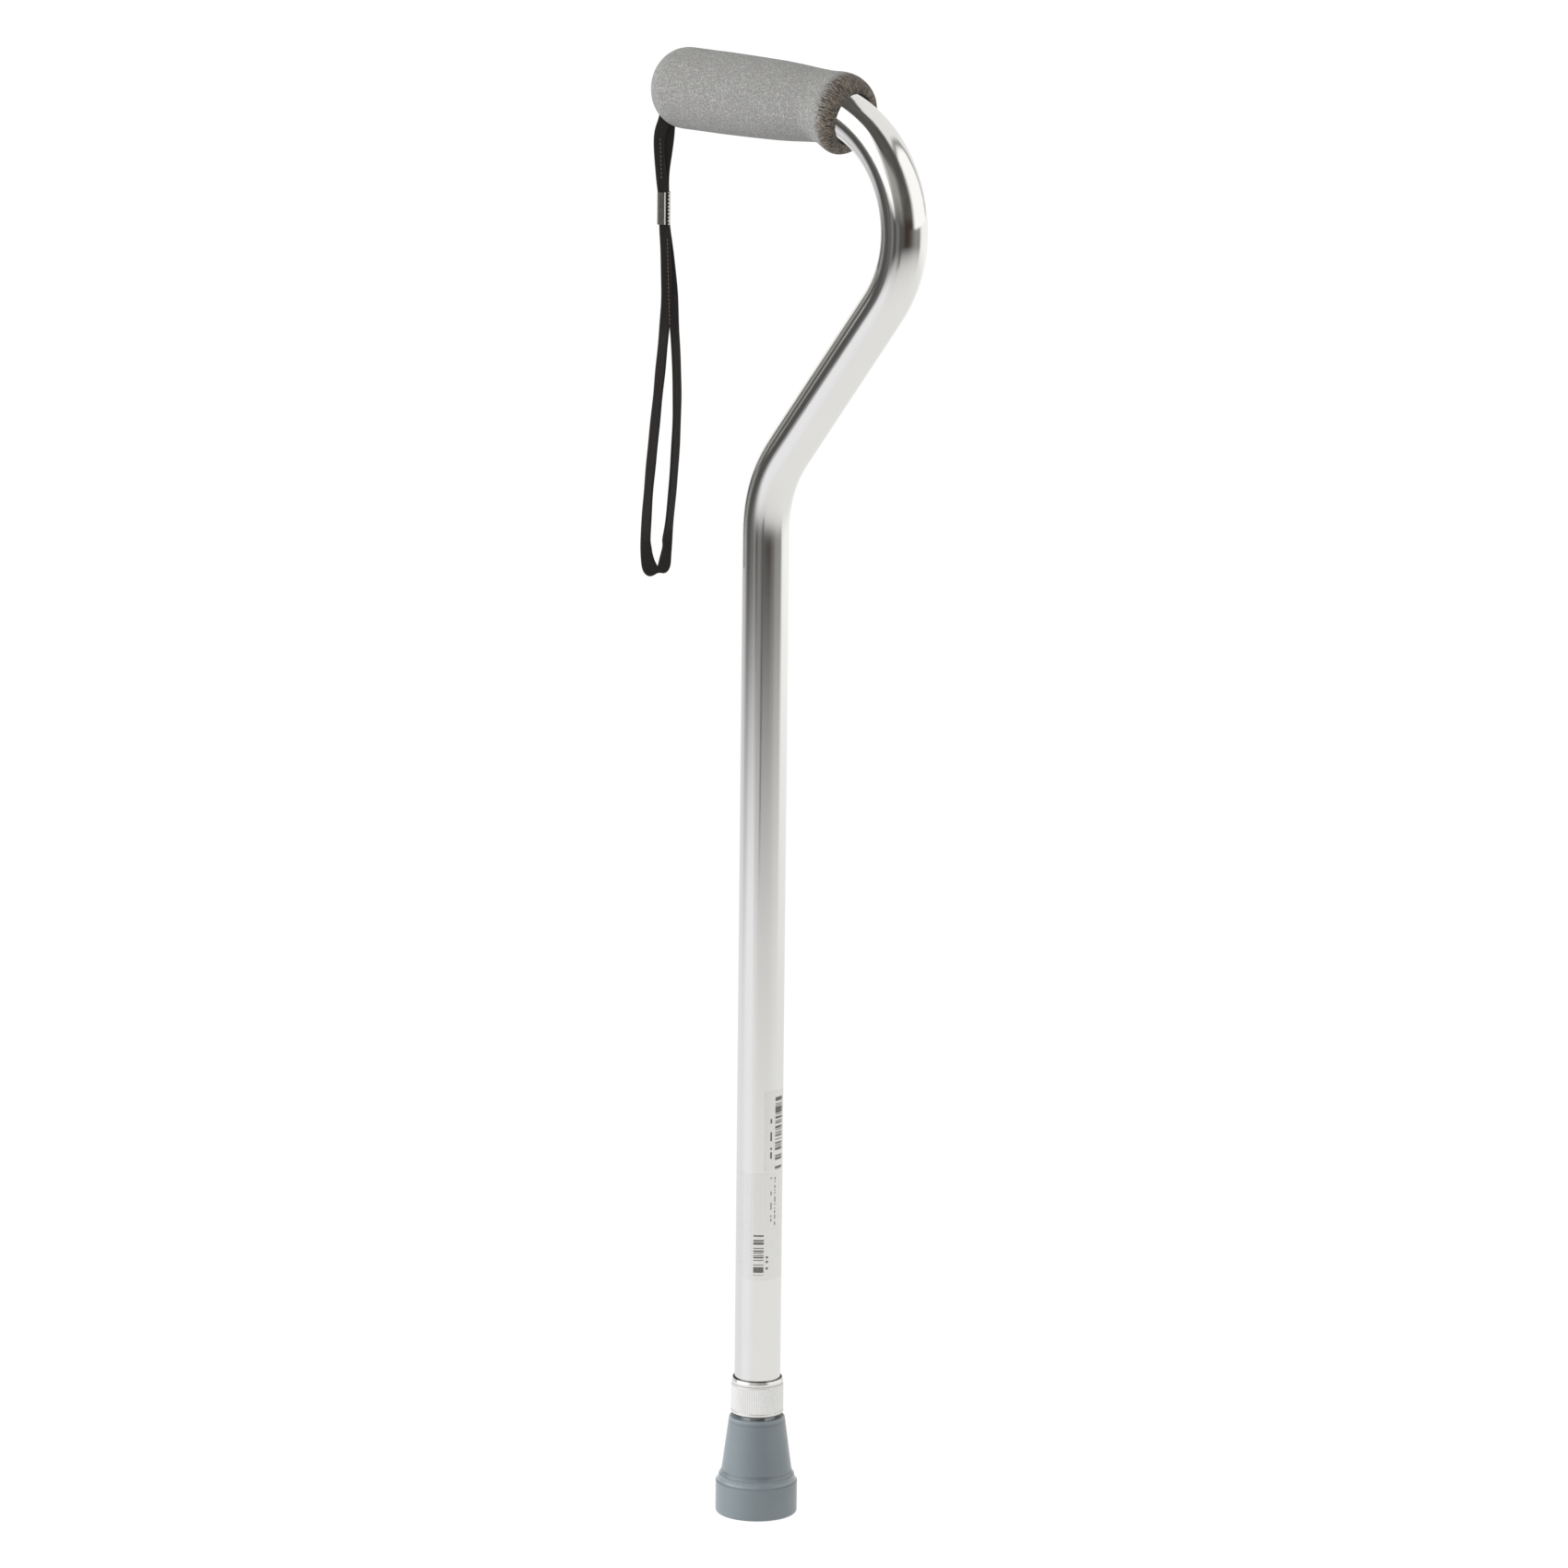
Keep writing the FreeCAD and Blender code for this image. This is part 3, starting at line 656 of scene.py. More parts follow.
def foam_material():
    """Closed-cell foam: a fine open-pored skin, rough brown fibres towards the cut rear end, which is
    darkened partly by its own colour and partly by painted shade of the end turned from the light.
    """
    made, n, shader = material("foam_grey", srgb(150, 150, 149), roughness=0.9, specular=0.2)
    place = n.place()
    pores = n.add("ShaderNodeTexVoronoi", {"Vector": place, "Scale": 1300.0, "Randomness": 1.0}, feature="F1")
    grain = n.noise(place, 2100.0, 3.0, 0.65)
    coarse = n.noise(place, 850.0, 2.0, 0.6)
    patches = n.noise(place, 130.0, 3.0, 0.6)
    cut = n.attribute("cut_face_and_shade")
    # fibres that run out from the hole over the rounded end: fine across, long along the outline
    fibres = n.noise(n.attribute("strands", "Vector"), 1.0, 3.0, 0.7)
    speck = n.product(n.spread(pores, 0.5, 1.25), n.spread(grain, 0.62, 1.36), n.spread(coarse, 0.86, 1.14))
    skin = n.mix(patches, srgb(150, 150, 149), srgb(164, 164, 162))
    # the cut end's tone: the cut foam's own brown, made darker by painted shade where the end faces away from
    # the light
    cut_tone_and_shade = n.mix(n.smooth(fibres, 0.36, 0.64), srgb(54, 50, 46), srgb(157, 148, 136))
    reach = n.math("SUBTRACT", cut, n.math("MULTIPLY", n.math("SUBTRACT", fibres, 0.5), 1.5))
    tone = n.mix(n.smooth(reach, 0.25, 0.7), skin, cut_tone_and_shade)
    # painted shade: near black in the crease where the foam's mouth meets the tube
    tone = n.mix(n.attribute("mouth_shade"), tone, (0.012, 0.01, 0.009, 1))
    shade = n.add("ShaderNodeCombineColor", {0: speck, 1: speck, 2: speck})
    height = n.math("ADD", pores, n.product(grain, 0.8))
    height = n.math("ADD", height, n.product(fibres, cut, 1.6))
    feed(n, shader, Base_Color=n.vector("MULTIPLY", tone, shade), Normal=n.bump(height, 0.6, 0.00028))
    shader.inputs["Sheen Weight"].default_value = 0.1
    shader.inputs["Sheen Roughness"].default_value = 0.6
    return made


def make_grip():
    curve, run = soft_outline()
    vertices = []
    cut = []
    strands = []
    mouth_shade = []
    for i, (distance, radius) in enumerate(curve):
        lean = GRIP_END_LEAN * ease(ramp(distance, *LEAN_ALONG))
        for turn in circle(GRIP_AROUND):
            centre, axis = handle_frame((distance - lean * radius * math.cos(turn)) * MM)
            outward = Vector((-axis.z, 0, axis.x))
            wobble = sum(share * math.sin(waves * turn + distance * drift) for share, waves, drift in WOBBLES)
            upper = -UPPER_LOSS * math.cos(turn) * ramp(distance, *UPPER_ALONG)
            size = radius * MM * (1 + (wobble + upper) * ramp(radius, *TRUE_ROUND))
            direction = outward * math.cos(turn) + Vector((0, 1, 0)) * math.sin(turn)
            vertices.append(centre + direction * size)
            cut.append(ramp(distance, *CUT_ALONG))
            strands += [math.cos(turn) * STRANDS_RADIUS, math.sin(turn) * STRANDS_RADIUS]
            strands.append(run[i] * STRANDS_ALONG)
            mouth_shade.append(ramp(MOUTH_RADIUS - radius, 0.0, MOUTH_SOFT) if distance > MOUTH_START else 0.0)
    faces = ring_faces(len(curve), GRIP_AROUND)
    grip = object_from("foam_grip_soft", vertices, faces, foam_material())
    for name, kind, key, values in (
        ("cut_face_and_shade", "FLOAT", "value", cut),
        ("mouth_shade", "FLOAT", "value", mouth_shade),
        ("strands", "FLOAT_VECTOR", "vector", strands),
    ):
        layer = grip.data.attributes.new(name, kind, "POINT")
        layer.data.foreach_set(key, values)
    # the points that meet at the tip of the dome become one
    welded = bmesh.new()
    welded.from_mesh(grip.data)
    bmesh.ops.remove_doubles(welded, verts=welded.verts, dist=0.00002)
    bmesh.ops.recalc_face_normals(welded, faces=welded.faces)
    welded.to_mesh(grip.data)
    welded.free()
    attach(grip, "handle")
    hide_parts("foam_grip")
    grip.visible_glossy = False


make_grip()


# ---------------------------------------------------------------- handle tube

TUBE_BORE = 0.0099125
TUBE_END_Z = 0.056
# Bends of the tube from its foot up: (length of the straight run before it, radius, angle turned)
TUBE_RUNS = ((0.4297, 0.0613, math.radians(38.2)), (0.0994, -BEND_RADIUS, -math.radians(128.2)))
TUBE_TAIL = 0.08137
TUBE_STEP = 0.0002
TUBE_AROUND = 128
BEND_ONSET = 0.024
# Distance between the stations that are kept in and near a bend, and in the straight runs
BEND_STATION = 0.0012
RUN_STATION = 0.008
# What counts as bent, in turns of a radian per metre, and how many steps from it still count as near
BEND_LEAST = 0.05
BEND_NEAR = 40
# A bent tube is a little flatter across the plane of its bend, by this share of its width.
BEND_FLATNESS = 0.012
HOLE_TOP_Z = 0.36
HOLE_PITCH = 0.01905
HOLE_RADIUS = 0.0032
HOLE_COUNT = 13
HOLE_AROUND = 40
DRILL_ENDS_X = (-0.014, -0.006)


def tube_line():
    """Stations up the tube: (x, z, lean from upright, bend). Each bend starts and ends softly."""
    bends = []
    for straight, radius, angle in TUBE_RUNS:
        bends += [0.0] * int(round(straight / TUBE_STEP))
        bends += [1 / radius] * int(round(angle * radius / TUBE_STEP))
    bends += [0.0] * int(round(TUBE_TAIL / TUBE_STEP))
    kernel = np.hanning(int(BEND_ONSET / TUBE_STEP) | 1)
    kernel /= kernel.sum()
    bends = np.convolve(np.pad(bends, len(kernel) // 2, mode="edge"), kernel, mode="valid")
    lean = np.cumsum(bends) * TUBE_STEP - bends * TUBE_STEP / 2
    x = np.cumsum(np.sin(lean)) * TUBE_STEP
    z = TUBE_END_Z + np.cumsum(np.cos(lean)) * TUBE_STEP
    curved = np.abs(bends) > BEND_LEAST
    keep = [0]
    for i in range(1, len(bends)):
        gap = (i - keep[-1]) * TUBE_STEP
        near = curved[max(i - BEND_NEAR, 0):i + BEND_NEAR].any()
        if gap >= (BEND_STATION if near else RUN_STATION) or i == len(bends) - 1:
            keep.append(i)
    return [(x[i], z[i], lean[i], bends[i]) for i in keep]


def make_tube():
    stations = tube_line()
    vertices = []
    for skin in (TUBE_RADIUS, TUBE_BORE):
        for x, z, lean, bend in stations:
            side = Vector((math.cos(lean), 0, -math.sin(lean)))
            flat = min(abs(bend) * BEND_RADIUS, 1.0) * BEND_FLATNESS
            for turn in circle(TUBE_AROUND):
                radius = skin * (1 - flat * math.cos(turn) ** 2)
                away = side * math.cos(turn) + Vector((0, 1, 0)) * math.sin(turn)
                vertices.append(Vector((x, 0, z)) + away * radius)
    rings = len(stations)
    inside = rings * TUBE_AROUND
    faces = ring_faces(rings, TUBE_AROUND) + ring_faces(rings, TUBE_AROUND, inside, inward=True)
    for a, top in ((0, False), (inside - TUBE_AROUND, True)):
        for j in range(TUBE_AROUND):
            k = (j + 1) % TUBE_AROUND
            face = (inside + a + j, inside + a + k, a + k, a + j)
            faces.append(tuple(reversed(face)) if top else face)
    tube = object_from("handle_tube_drawn", vertices, faces, tube_material("tube_aluminium", *UPPER_FINISH))
    drill_holes(tube)
    soften_normals(tube, stations)
    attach(tube, "handle")
    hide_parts("handle_tube")


def drill_holes(tube):
    """The row of adjustment holes in the front of the tube."""
    corners = []
    faces = []
    for hole in range(HOLE_COUNT):
        z = HOLE_TOP_Z - hole * HOLE_PITCH
        start = len(corners)
        for x in DRILL_ENDS_X:
            for turn in circle(HOLE_AROUND):
                corners.append((x, HOLE_RADIUS * math.cos(turn), z + HOLE_RADIUS * math.sin(turn)))
        faces += ring_faces(2, HOLE_AROUND, start)
        faces.append(tuple(start + j for j in reversed(range(HOLE_AROUND))))
        faces.append(tuple(start + HOLE_AROUND + j for j in range(HOLE_AROUND)))
    drill = object_from("drill", corners, faces, None)
    outward = bmesh.new()
    outward.from_mesh(drill.data)
    bmesh.ops.recalc_face_normals(outward, faces=outward.faces)
    outward.to_mesh(drill.data)
    outward.free()
    modifier = tube.modifiers.new("holes", "BOOLEAN")
    modifier.object = drill
    modifier.operation = "DIFFERENCE"
    modifier.solver = "EXACT"
    graph = bpy.context.evaluated_depsgraph_get()
    drilled = bpy.data.meshes.new_from_object(tube.evaluated_get(graph))
    tube.modifiers.clear()
    tube.data = drilled
    bpy.data.objects.remove(drill)


def soften_normals(tube, stations):
    """True round normals on the tube's two skins; the ends and the hole walls stay sharp."""
    mesh = tube.data
    line = np.array([station[:2] for station in stations])
    leans = [station[2] for station in stations]
    starts = line[:-1]
    ahead = line[1:] - starts
    squares = (ahead ** 2).sum(1)
    normals = []
    for face in mesh.polygons:
        for index in face.vertices:
            point = mesh.vertices[index].co
            flat = np.array((point.x, point.z))
            share = np.clip(((flat - starts) * ahead).sum(1) / squares, 0, 1)
            near = starts + ahead * share[:, None]
            best = int(np.argmin(((flat - near) ** 2).sum(1)))
            lean = leans[best] + (leans[best + 1] - leans[best]) * share[best]
            away = Vector((point.x - near[best][0], point.y, point.z - near[best][1]))
            along = Vector((math.sin(lean), 0, math.cos(lean)))
            away = (away - along * away.dot(along)).normalized()
            facing = face.normal.dot(away)
            if abs(facing) > 0.9:
                normals.append(away * (1 if facing > 0 else -1))
            else:
                normals.append(face.normal.copy())
    mesh.polygons.foreach_set("use_smooth", [True] * len(mesh.polygons))
    mesh.normals_split_custom_set([tuple(v) for v in normals])


# ---------------------------------------------------------------- metal, rubber and plastic

# Finishes of the two tubes: (colour, roughness, radius)
UPPER_FINISH = ((0.875, 0.872, 0.868, 1), 0.065, TUBE_RADIUS)
LOWER_FINISH = (srgb(226, 227, 228), 0.18, 0.009525)
# Where the ring is dark: painted shade in the gap of its joint round the tube as (radii, heights), its scored
# line, and painted shade in the gap at its foot
RING_JOINT_SHADE = ((0.01196, 0.01204), (0.0665, 0.067))
RING_SCORE = (0.06525, 0.06555)
RING_FOOT_SHADE = (0.0502, 0.0505)
# Heights of the tip: the corner over its foot, where shade is painted, its rounded edges, polished and
# painted with a highlight, and the painted shade just under each edge
TIP_CORNER_SHADE = (0.0206, 0.0216)
TIP_EDGES = ((0.0164, 0.0185), (0.0474, 0.0486))
TIP_UNDER_SHADE = ((0.0158, 0.0161, 0.0003), (0.0458, 0.0463, 0.0004))


def tube_material(name, tone, roughness, radius):
    """Drawn and polished tube. Its die lines keep one place round the tube, also through the bends."""
    made, n, shader = material(name, tone, metallic=1.0, roughness=roughness)
    place = n.place()
    x, y, z = n.split(place)
    share = n.math("MINIMUM", n.most(n.math("DIVIDE", y, radius), -1.0), 1.0)
    lines = n.add("ShaderNodeCombineXYZ", {0: n.math("ARCSINE", share), 1: x, 2: z})
    drawn = n.noise(n.scaled(lines, 14.0, 4.0, 4.0), 1.0, 4.0, 0.65)
    broad = n.noise(n.scaled(lines, 3.0, 1.5, 1.5), 1.0, 1.0)
    marks = n.smooth(n.noise(place, 380.0, 5.0, 0.7), 0.68, 0.76)
    rough = n.math("ADD", n.spread(drawn, roughness - 0.03, roughness + 0.05), n.product(marks, 0.1))
    height = n.math("ADD", n.product(broad, 4.0), drawn)
    feed(
        n, shader,
        Base_Color=n.mix(n.noise(place, 30.0, 2.0), darker(tone, 0.955), tone),
        Roughness=rough,
        Normal=n.bump(height, 0.35, 0.00012),
    )
    return made


def ring_material():
    """Bright turned aluminium with a scored line under its bevel, and painted shade in the gaps at its joint
    round the tube and at its foot.
    """
    made, n, shader = material("ring_metal", (0.86, 0.86, 0.855, 1), metallic=0.6, roughness=0.2)
    place = n.place()
    x, y, z = n.split(place)
    radii, heights = RING_JOINT_SHADE
    # painted shade in the gap round the tube at the top and in the gap over the tip at the foot
    joint = n.product(n.rest(n.smooth(n.length(x, y), *radii)), n.smooth(z, *heights))
    score = n.band(z, *RING_SCORE, 0.00012)
    foot = n.rest(n.smooth(z, *RING_FOOT_SHADE))
    grain = n.noise(n.scaled(place, 300.0, 300.0, 2400.0), 1.0, 3.0)
    worn = n.noise(place, 500.0, 4.0, 0.6)
    tone = n.mix(worn, (0.82, 0.82, 0.815, 1), (0.89, 0.89, 0.885, 1))
    feed(
        n, shader,
        Base_Color=n.mix(n.most(joint, foot, n.product(score, 0.75)), tone, (0.05, 0.048, 0.045, 1)),
        Roughness=n.spread(grain, 0.16, 0.24),
        Normal=n.bump(n.math("SUBTRACT", grain, n.product(score, 3.0)), 0.1, 0.00004),
    )
    return made


def rubber_material():
    """Moulded grey rubber with painted shade in the corner over its foot and just under its edges; its edges
    are polished and painted lighter as a highlight.
    """
    made, n, shader = material("tip_rubber", srgb(128, 139, 146), roughness=0.42, specular=0.45)
    place = n.place()
    height = n.split(place)[2]
    grain = n.noise(place, 1500.0, 3.0, 0.6)
    dust = n.smooth(n.noise(place, 240.0, 5.0, 0.7), 0.6, 0.8)
    corner_shade = n.band(height, *TIP_CORNER_SHADE, 0.0005)
    edge = n.most(*(n.band(height, *heights, 0.0004) for heights in TIP_EDGES))
    under = n.most(*(n.band(height, *heights) for heights in TIP_UNDER_SHADE))
    base = n.mix(n.noise(place, 60.0, 3.0), srgb(116, 127, 133), srgb(130, 141, 147))
    # the dust is the rubber's own; the corner and the places under the edges get painted shade, and the edges
    # a painted highlight
    for where, share, tone in (
        (dust, 0.22, srgb(158, 166, 170)),
        (corner_shade, 0.3, srgb(66, 74, 80)),
        (under, 0.35, srgb(70, 78, 84)),
        (edge, 0.25, srgb(178, 188, 192)),
    ):
        base = n.mix(n.product(where, share), base, tone)
    rough = n.math("SUBTRACT", n.spread(grain, 0.36, 0.5), n.product(edge, 0.16))
    feed(n, shader, Base_Color=base, Roughness=rough, Normal=n.bump(grain, 0.1, 0.00006))
    shader.inputs["Coat Weight"].default_value = 0.55
    shader.inputs["Coat Roughness"].default_value = 0.14
    return made


def plastic_material(name, tone):
    made, n, shader = material(name, tone, roughness=0.45)
    grain = n.noise(n.place(), 900.0, 3.0)
    feed(
        n, shader,
        Base_Color=n.mix(grain, darker(tone, 0.85), tone),
        Roughness=n.spread(grain, 0.38, 0.55),
        Normal=n.bump(grain, 0.12, 0.00005),
    )
    return made


def steel_material():
    made, n, shader = material("button_steel", srgb(190, 189, 187), metallic=1.0, roughness=0.28)
    grain = n.noise(n.scaled(n.place(), 900.0, 200.0, 900.0), 1.0, 4.0)
    feed(
        n, shader,
        Base_Color=n.mix(grain, srgb(172, 171, 169), srgb(206, 205, 202)),
        Roughness=n.spread(grain, 0.2, 0.38),
        Normal=n.bump(grain, 0.1, 0.00004),
    )
    return made


# Fields of meaningless bars: (low turn, high turn, low height, high height, pitch of the bars)
UPPER_BARS = ((-0.09, 0.4, 0.1735, 0.2095, 0.0004), (-0.34, -0.26, 0.178, 0.204, 0.0011))
LOWER_BARS = (
    (-1.05, -0.6, 0.1214, 0.1425, 0.0004),
    (-0.5, -0.4, 0.122, 0.139, 0.0011),
    (-0.3, -0.25, 0.148, 0.17, 0.0009),
    (-0.1, -0.05, 0.146, 0.17, 0.0007),
)
FILM_ALPHA = 0.06
BAR_ALPHA = 0.58


def label_material(name, fields):
    """Clear film with fields of bars, each there or not there by chance."""
    made, n, shader = material(name, srgb(225, 225, 223), roughness=0.3)
    place = n.place()
    x, y, z = n.split(place)
    turn = n.math("ARCTAN2", y, x)
    stripes = []
    for low_turn, high_turn, low, high, pitch in fields:
        inside = n.product(
            n.math("GREATER_THAN", turn, low_turn),
            n.math("LESS_THAN", turn, high_turn),
            n.math("GREATER_THAN", z, low),
            n.math("LESS_THAN", z, high),
        )
        cell = n.math("FLOOR", n.math("DIVIDE", z, pitch))
        chance = n.add("ShaderNodeTexWhiteNoise", {"W": cell}, noise_dimensions="1D")
        stripes.append(n.product(inside, n.math("GREATER_THAN", chance, 0.5)))
    bars = n.most(*stripes)
    cloud = n.noise(place, 260.0, 3.0)
    wrinkle = n.noise(n.scaled(place, 300.0, 300.0, 60.0), 1.0, 2.0)
    film = n.mix(cloud, srgb(216, 216, 214), srgb(236, 236, 234))
    feed(
        n, shader,
        Base_Color=n.mix(bars, film, srgb(92, 88, 88)),
        Alpha=n.math("ADD", FILM_ALPHA, n.product(bars, BAR_ALPHA)),
        Roughness=n.spread(cloud, 0.2, 0.4),
        Normal=n.bump(wrinkle, 0.15, 0.00003),
    )
    return made


make_tube()
paint("lower_tube", tube_material("lower_aluminium", *LOWER_FINISH))
paint("locking_ring", ring_material())
paint("rubber_tip", rubber_material())
paint("handle_end_plug", plastic_material("nylon_black", srgb(40, 40, 40)))
nylon = plastic_material("nylon_grey", srgb(196, 196, 190))
paint("split_collet", nylon)
paint("guide_bush", nylon)
steel = steel_material()
for node in ("snap_button", "button_spring", "tip_washer"):
    paint(node, steel)
paint("label_upper", label_material("label_film_upper", UPPER_BARS))
paint("label_lower", label_material("label_film_lower", LOWER_BARS))


# ---------------------------------------------------------------- floor, room and lights

# The studio as the object mirrors it. A bearing is in degrees, from -235 to 125, counted from +X towards +Y.
# A height is in degrees over the horizon.
BEARING_END = 125.0
PLAIN_WHITE = (1.02, 1.02, 1.02, 1)
BROWN = (0.055, 0.04, 0.03, 1)

# Floor: a glowing white sheet, its light and shade painted in, that fades into a dim far part. Its distances
# are in metres from the shaft.
FLOOR_HALF = 14.0
SHEET_FADE_START = 0.75
SHEET_FADE_END = 2.65
# Bearings as (low, high, softness) of the side of the large lamp, and how much later the fade starts there
LAMP_SIDE = (-135.0, -85.0, 14.0)
LAMP_SIDE_LATER = 0.47
# Up to the first bearing the fade ends later by this much, from the second on it doesn't.
LEFT_SIDE = (-190.0, -140.0)
LEFT_SIDE_LATER = 1.6
# Towards the white wall the sheet doesn't fade: between the first bearings it loses a part of its fade,
# between the second the rest, and on the wall's other side it loses all between the third.
WALL_PART = (-30.0, 10.0)
WALL_PART_SHARE = 0.22
WALL_WHOLE = (24.0, 50.0)
WALL_OTHER_SIDE = (-202.0, -184.0)
# Painted brightness of the glowing sheet, how it changes on each side, and over what distances
SHEET_LEVEL = 0.85
LAMP_SIDE_GAIN = 0.07
SHADE_SIDE = (-75.0, 15.0, 25.0)
SHADE_DISTANCE = (0.3, 1.1)
SHADE_LOSS = 0.07
WALL_SIDE = (2.0, 130.0, 14.0)
WALL_SIDE_DISTANCE = (0.9, 2.6)
WALL_SIDE_GAIN = 0.17
# Colour of the sheet from the first bearing to the second
TINT_BEARINGS = (-110.0, -20.0)
TINT_LEFT = (1.0, 0.992, 1.0, 1)
TINT_RIGHT = (1.0, 0.995, 0.968, 1)
# Foot of a stand, and a brown case behind the sheet
STAND_BEARINGS = (-70.0, -61.0, 2.0)
STAND_DISTANCE = (1.5, 2.35, 0.15)
STAND_SHADE = 0.6
CASE_BEARINGS = (-42.0, -1.0, 5.0)
CASE_DISTANCE = (2.42, 2.52)
FLOOR_FAR = (0.09, 0.088, 0.084, 1)
# Uprights of the dim far part: (low bearing, high bearing, level)
FLOOR_UPRIGHTS = (
    (-184.0, -155.0, 0.28), (-129.0, -117.0, 0.14), (-113.0, -101.0, 0.23), (-84.0, -72.0, 0.19),
)

# Room: (bearings, heights, softness, tone) of the panels of its unlit side. It is a little paler on the left
# and dull behind the handle.
ROOM_DARK = (0.04, 0.037, 0.035, 1)
ROOM_PALE = (0.16, 0.152, 0.138, 1)
ROOM_PANELS = (
    ((-90.0, -48.0), (4.0, 32.0), 10.0, (0.36, 0.355, 0.33, 1)),
    ((-42.0, -2.0), (-14.0, 4.0), 5.0, BROWN),
    ((-118.0, -98.0), (-12.0, 1.0), 5.0, (0.3, 0.295, 0.28, 1)),
    ((-300.0, -168.0), (-14.0, 12.0), 6.0, (0.36, 0.355, 0.33, 1)),
    ((-300.0, -150.0), (12.0, 60.0), 9.0, (0.3, 0.3, 0.29, 1)),
    ((-300.0, -192.0), (-40.0, 9.0), 8.0, (0.95, 0.95, 0.92, 1)),
)
# Large lamp: bearings and heights as (low, high, softness)
LAMP_PANEL = ((-150.0, -86.0, 7.0), (-1.0, 48.0, 6.0))
LAMP_TONE = (1.35, 1.34, 1.32, 1)
# Large white wall behind: its middle bearing, half its width and height, where it begins, and the places of
# its frame and of the dark seam as shares of the way from its middle to its edge
WALL_MIDDLE = 25.0
WALL_HALF_WIDTH = 64.0
WALL_HALF_HEIGHT = 55.0
WALL_START = (-7.0, 9.0)
WALL_FRAME = (0.95, 1.05)
WALL_SEAM = (0.94, 1.06, 0.06)
WALL_TONE = (1.12, 1.11, 1.085, 1)
WALL_FRAME_TONE = (0.88, 0.87, 0.85, 1)
WALL_SEAM_TONE = (0.34, 0.335, 0.325, 1)

# Soft lamps that lift the matt pieces: (name, place, side of the square, power)
LAMPS = (("key", (-1.5, -1.6, 1.3), 1.2, 38.0), ("fill", (1.2, -2.4, 2.2), 1.6, 21.0))
LAMPS_AIM = (0, 0, 0.45)


def bearing_of(n, x, y):
    bearing = n.math("DEGREES", n.math("ARCTAN2", y, x))
    past = n.math("GREATER_THAN", bearing, BEARING_END)
    return n.math("SUBTRACT", bearing, n.math("MULTIPLY", past, 360.0))


def make_floor():
    made = bpy.data.materials.new("floor_white")
    made.use_nodes = True
    n = Nodes(made.node_tree)
    x, y = n.split(n.add("ShaderNodeNewGeometry", output="Position"))[:2]
    bearing = bearing_of(n, x, y)
    radius = n.length(x, y)
    lamp_side = n.band(bearing, *LAMP_SIDE)
    # how far the sheet has faded
    begin = n.math("ADD", SHEET_FADE_START, n.product(lamp_side, LAMP_SIDE_LATER))
    wall = n.most(n.smooth(bearing, *WALL_WHOLE), n.product(n.smooth(bearing, *WALL_PART), WALL_PART_SHARE))
    open_side = n.product(n.rest(wall), n.smooth(bearing, *WALL_OTHER_SIDE))
    left = n.rest(n.smooth(bearing, *LEFT_SIDE))
    end = n.math("ADD", SHEET_FADE_END, n.product(left, LEFT_SIDE_LATER))
    gone = n.math("DIVIDE", n.math("SUBTRACT", radius, begin), n.math("SUBTRACT", end, begin), clamp=True)
    fade = n.product(n.smooth(gone, 0.0, 1.0), open_side)
    # how bright the sheet is: painted light towards the lamp and the wall, painted shade on the other side
    level = n.math("ADD", SHEET_LEVEL, n.product(lamp_side, LAMP_SIDE_GAIN))
    shade = n.product(n.band(bearing, *SHADE_SIDE), n.smooth(radius, *SHADE_DISTANCE))
    level = n.math("SUBTRACT", level, n.product(shade, SHADE_LOSS))
    wall_side = n.product(n.band(bearing, *WALL_SIDE), n.smooth(radius, *WALL_SIDE_DISTANCE))
    level = n.math("ADD", level, n.product(wall_side, WALL_SIDE_GAIN))
    stand = n.product(n.band(bearing, *STAND_BEARINGS), n.band(radius, *STAND_DISTANCE))
    level = n.product(level, n.rest(n.product(stand, STAND_SHADE)))
    sheet = n.vector("MULTIPLY", n.mix(n.smooth(bearing, *TINT_BEARINGS), TINT_LEFT, TINT_RIGHT), level)
    # the dim far part
    far = FLOOR_FAR
    for low, high, tone in FLOOR_UPRIGHTS:
        far = n.mix(n.band(bearing, low, high, 3.0), far, (tone, tone * 0.99, tone * 0.95, 1))
    case = n.product(n.band(bearing, *CASE_BEARINGS), n.smooth(radius, *CASE_DISTANCE))
    far = n.mix(case, far, BROWN)
    glow = n.add("ShaderNodeEmission", {"Color": n.mix(fade, sheet, far), "Strength": 1.0})
    n.add("ShaderNodeOutputMaterial", {"Surface": glow})
    size = FLOOR_HALF
    corners = [(-size, -size, 0), (size, -size, 0), (size, size, 0), (-size, size, 0)]
    floor = object_from("floor", corners, [(0, 1, 2, 3)], made, smooth=False)
    # the metal mirrors the floor; the camera looks through it at the same white, so that it
    # doesn't hide the lower tube and the tip where they are drawn out below it
    floor.visible_camera = False


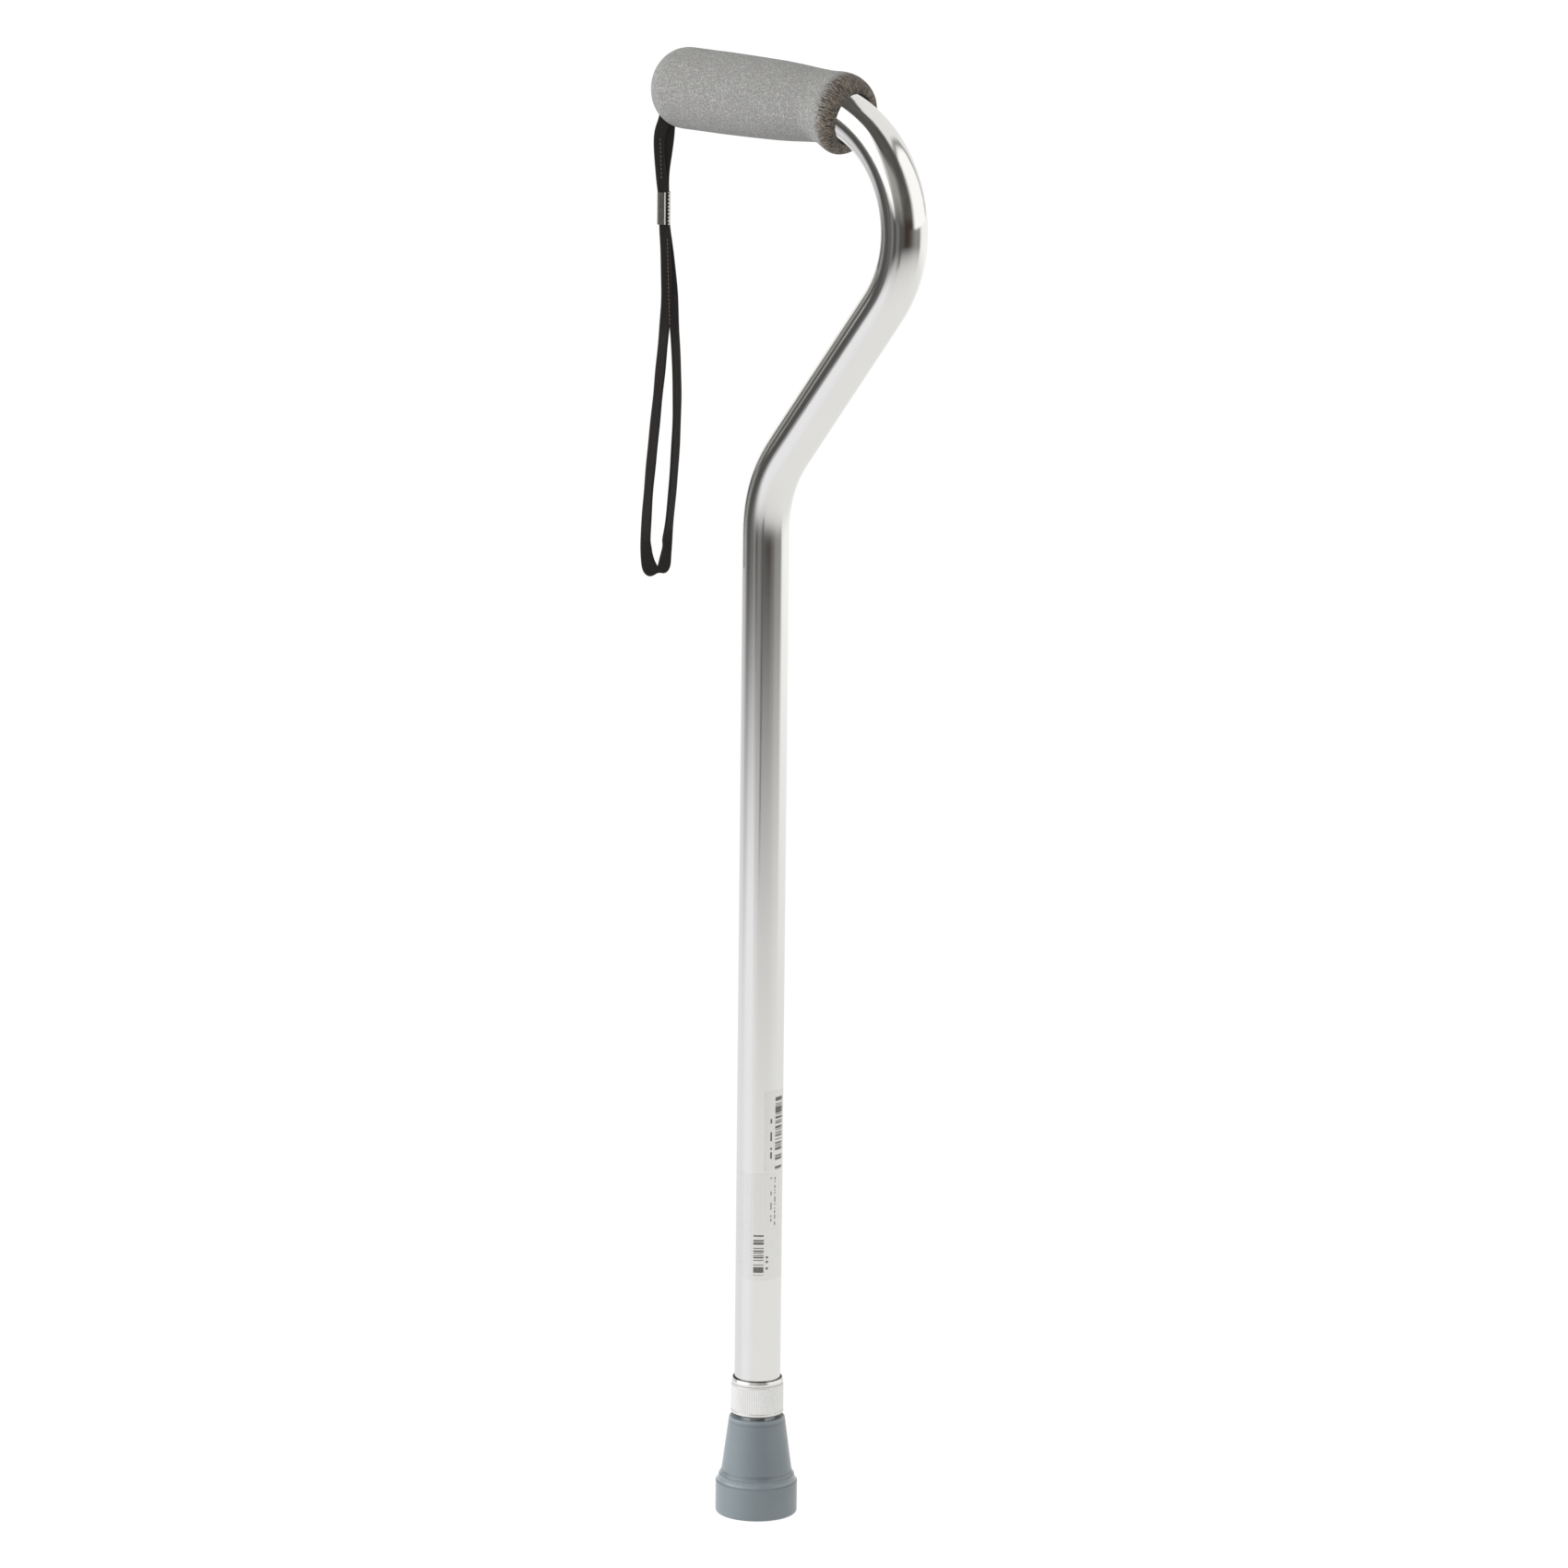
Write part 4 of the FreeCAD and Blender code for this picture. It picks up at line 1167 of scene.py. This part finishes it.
def make_room():
    world = bpy.data.worlds.new("room")
    world.use_nodes = True
    bpy.context.scene.world = world
    n = Nodes(world.node_tree)
    look = n.add("ShaderNodeTexCoord", output="Generated")
    x, y, z = n.split(look)
    bearing = bearing_of(n, x, y)
    height = n.math("DEGREES", n.math("ARCSINE", z))
    colour = n.mix(n.noise(n.scaled(look, 1.0, 1.0, 2.0), 2.4, 2.0), ROOM_DARK, ROOM_PALE)
    for bearings, heights, soft, tone in ROOM_PANELS:
        panel = n.product(n.band(bearing, *bearings, soft), n.band(height, *heights, soft))
        colour = n.mix(panel, colour, tone)
    bearings, heights = LAMP_PANEL
    colour = n.mix(n.product(n.band(bearing, *bearings), n.band(height, *heights)), colour, LAMP_TONE)
    # white wall with the dark seam of its frame
    side = n.math("DIVIDE", n.math("SUBTRACT", bearing, WALL_MIDDLE), WALL_HALF_WIDTH)
    rise = n.math("DIVIDE", height, WALL_HALF_HEIGHT)
    ring = n.length(side, rise)
    wall = n.mix(n.smooth(ring, *WALL_FRAME), WALL_TONE, WALL_FRAME_TONE)
    wall = n.mix(n.band(ring, *WALL_SEAM), wall, WALL_SEAM_TONE)
    colour = n.mix(n.smooth(bearing, *WALL_START), colour, wall)
    # the camera sees plain white
    colour = n.mix(n.add("ShaderNodeLightPath", output="Is Camera Ray"), colour, PLAIN_WHITE)
    glow = n.add("ShaderNodeBackground", {"Color": colour, "Strength": 1.0})
    n.add("ShaderNodeOutputWorld", {"Surface": glow})


def make_lamp(name, place, size, power):
    """A square lamp that the metal doesn't mirror: it mirrors the room's own panels."""
    data = bpy.data.lights.new(name, "AREA")
    data.shape = "RECTANGLE"
    data.size = size
    data.size_y = size
    data.energy = power
    lamp = bpy.data.objects.new(name, data)
    bpy.context.scene.collection.objects.link(lamp)
    lamp.location = place
    lamp.rotation_euler = (Vector(LAMPS_AIM) - Vector(place)).to_track_quat("-Z", "Y").to_euler()
    lamp.visible_glossy = False


make_floor()
make_room()
for settings in LAMPS:
    make_lamp(*settings)
bpy.context.scene.view_settings.view_transform = "Standard"
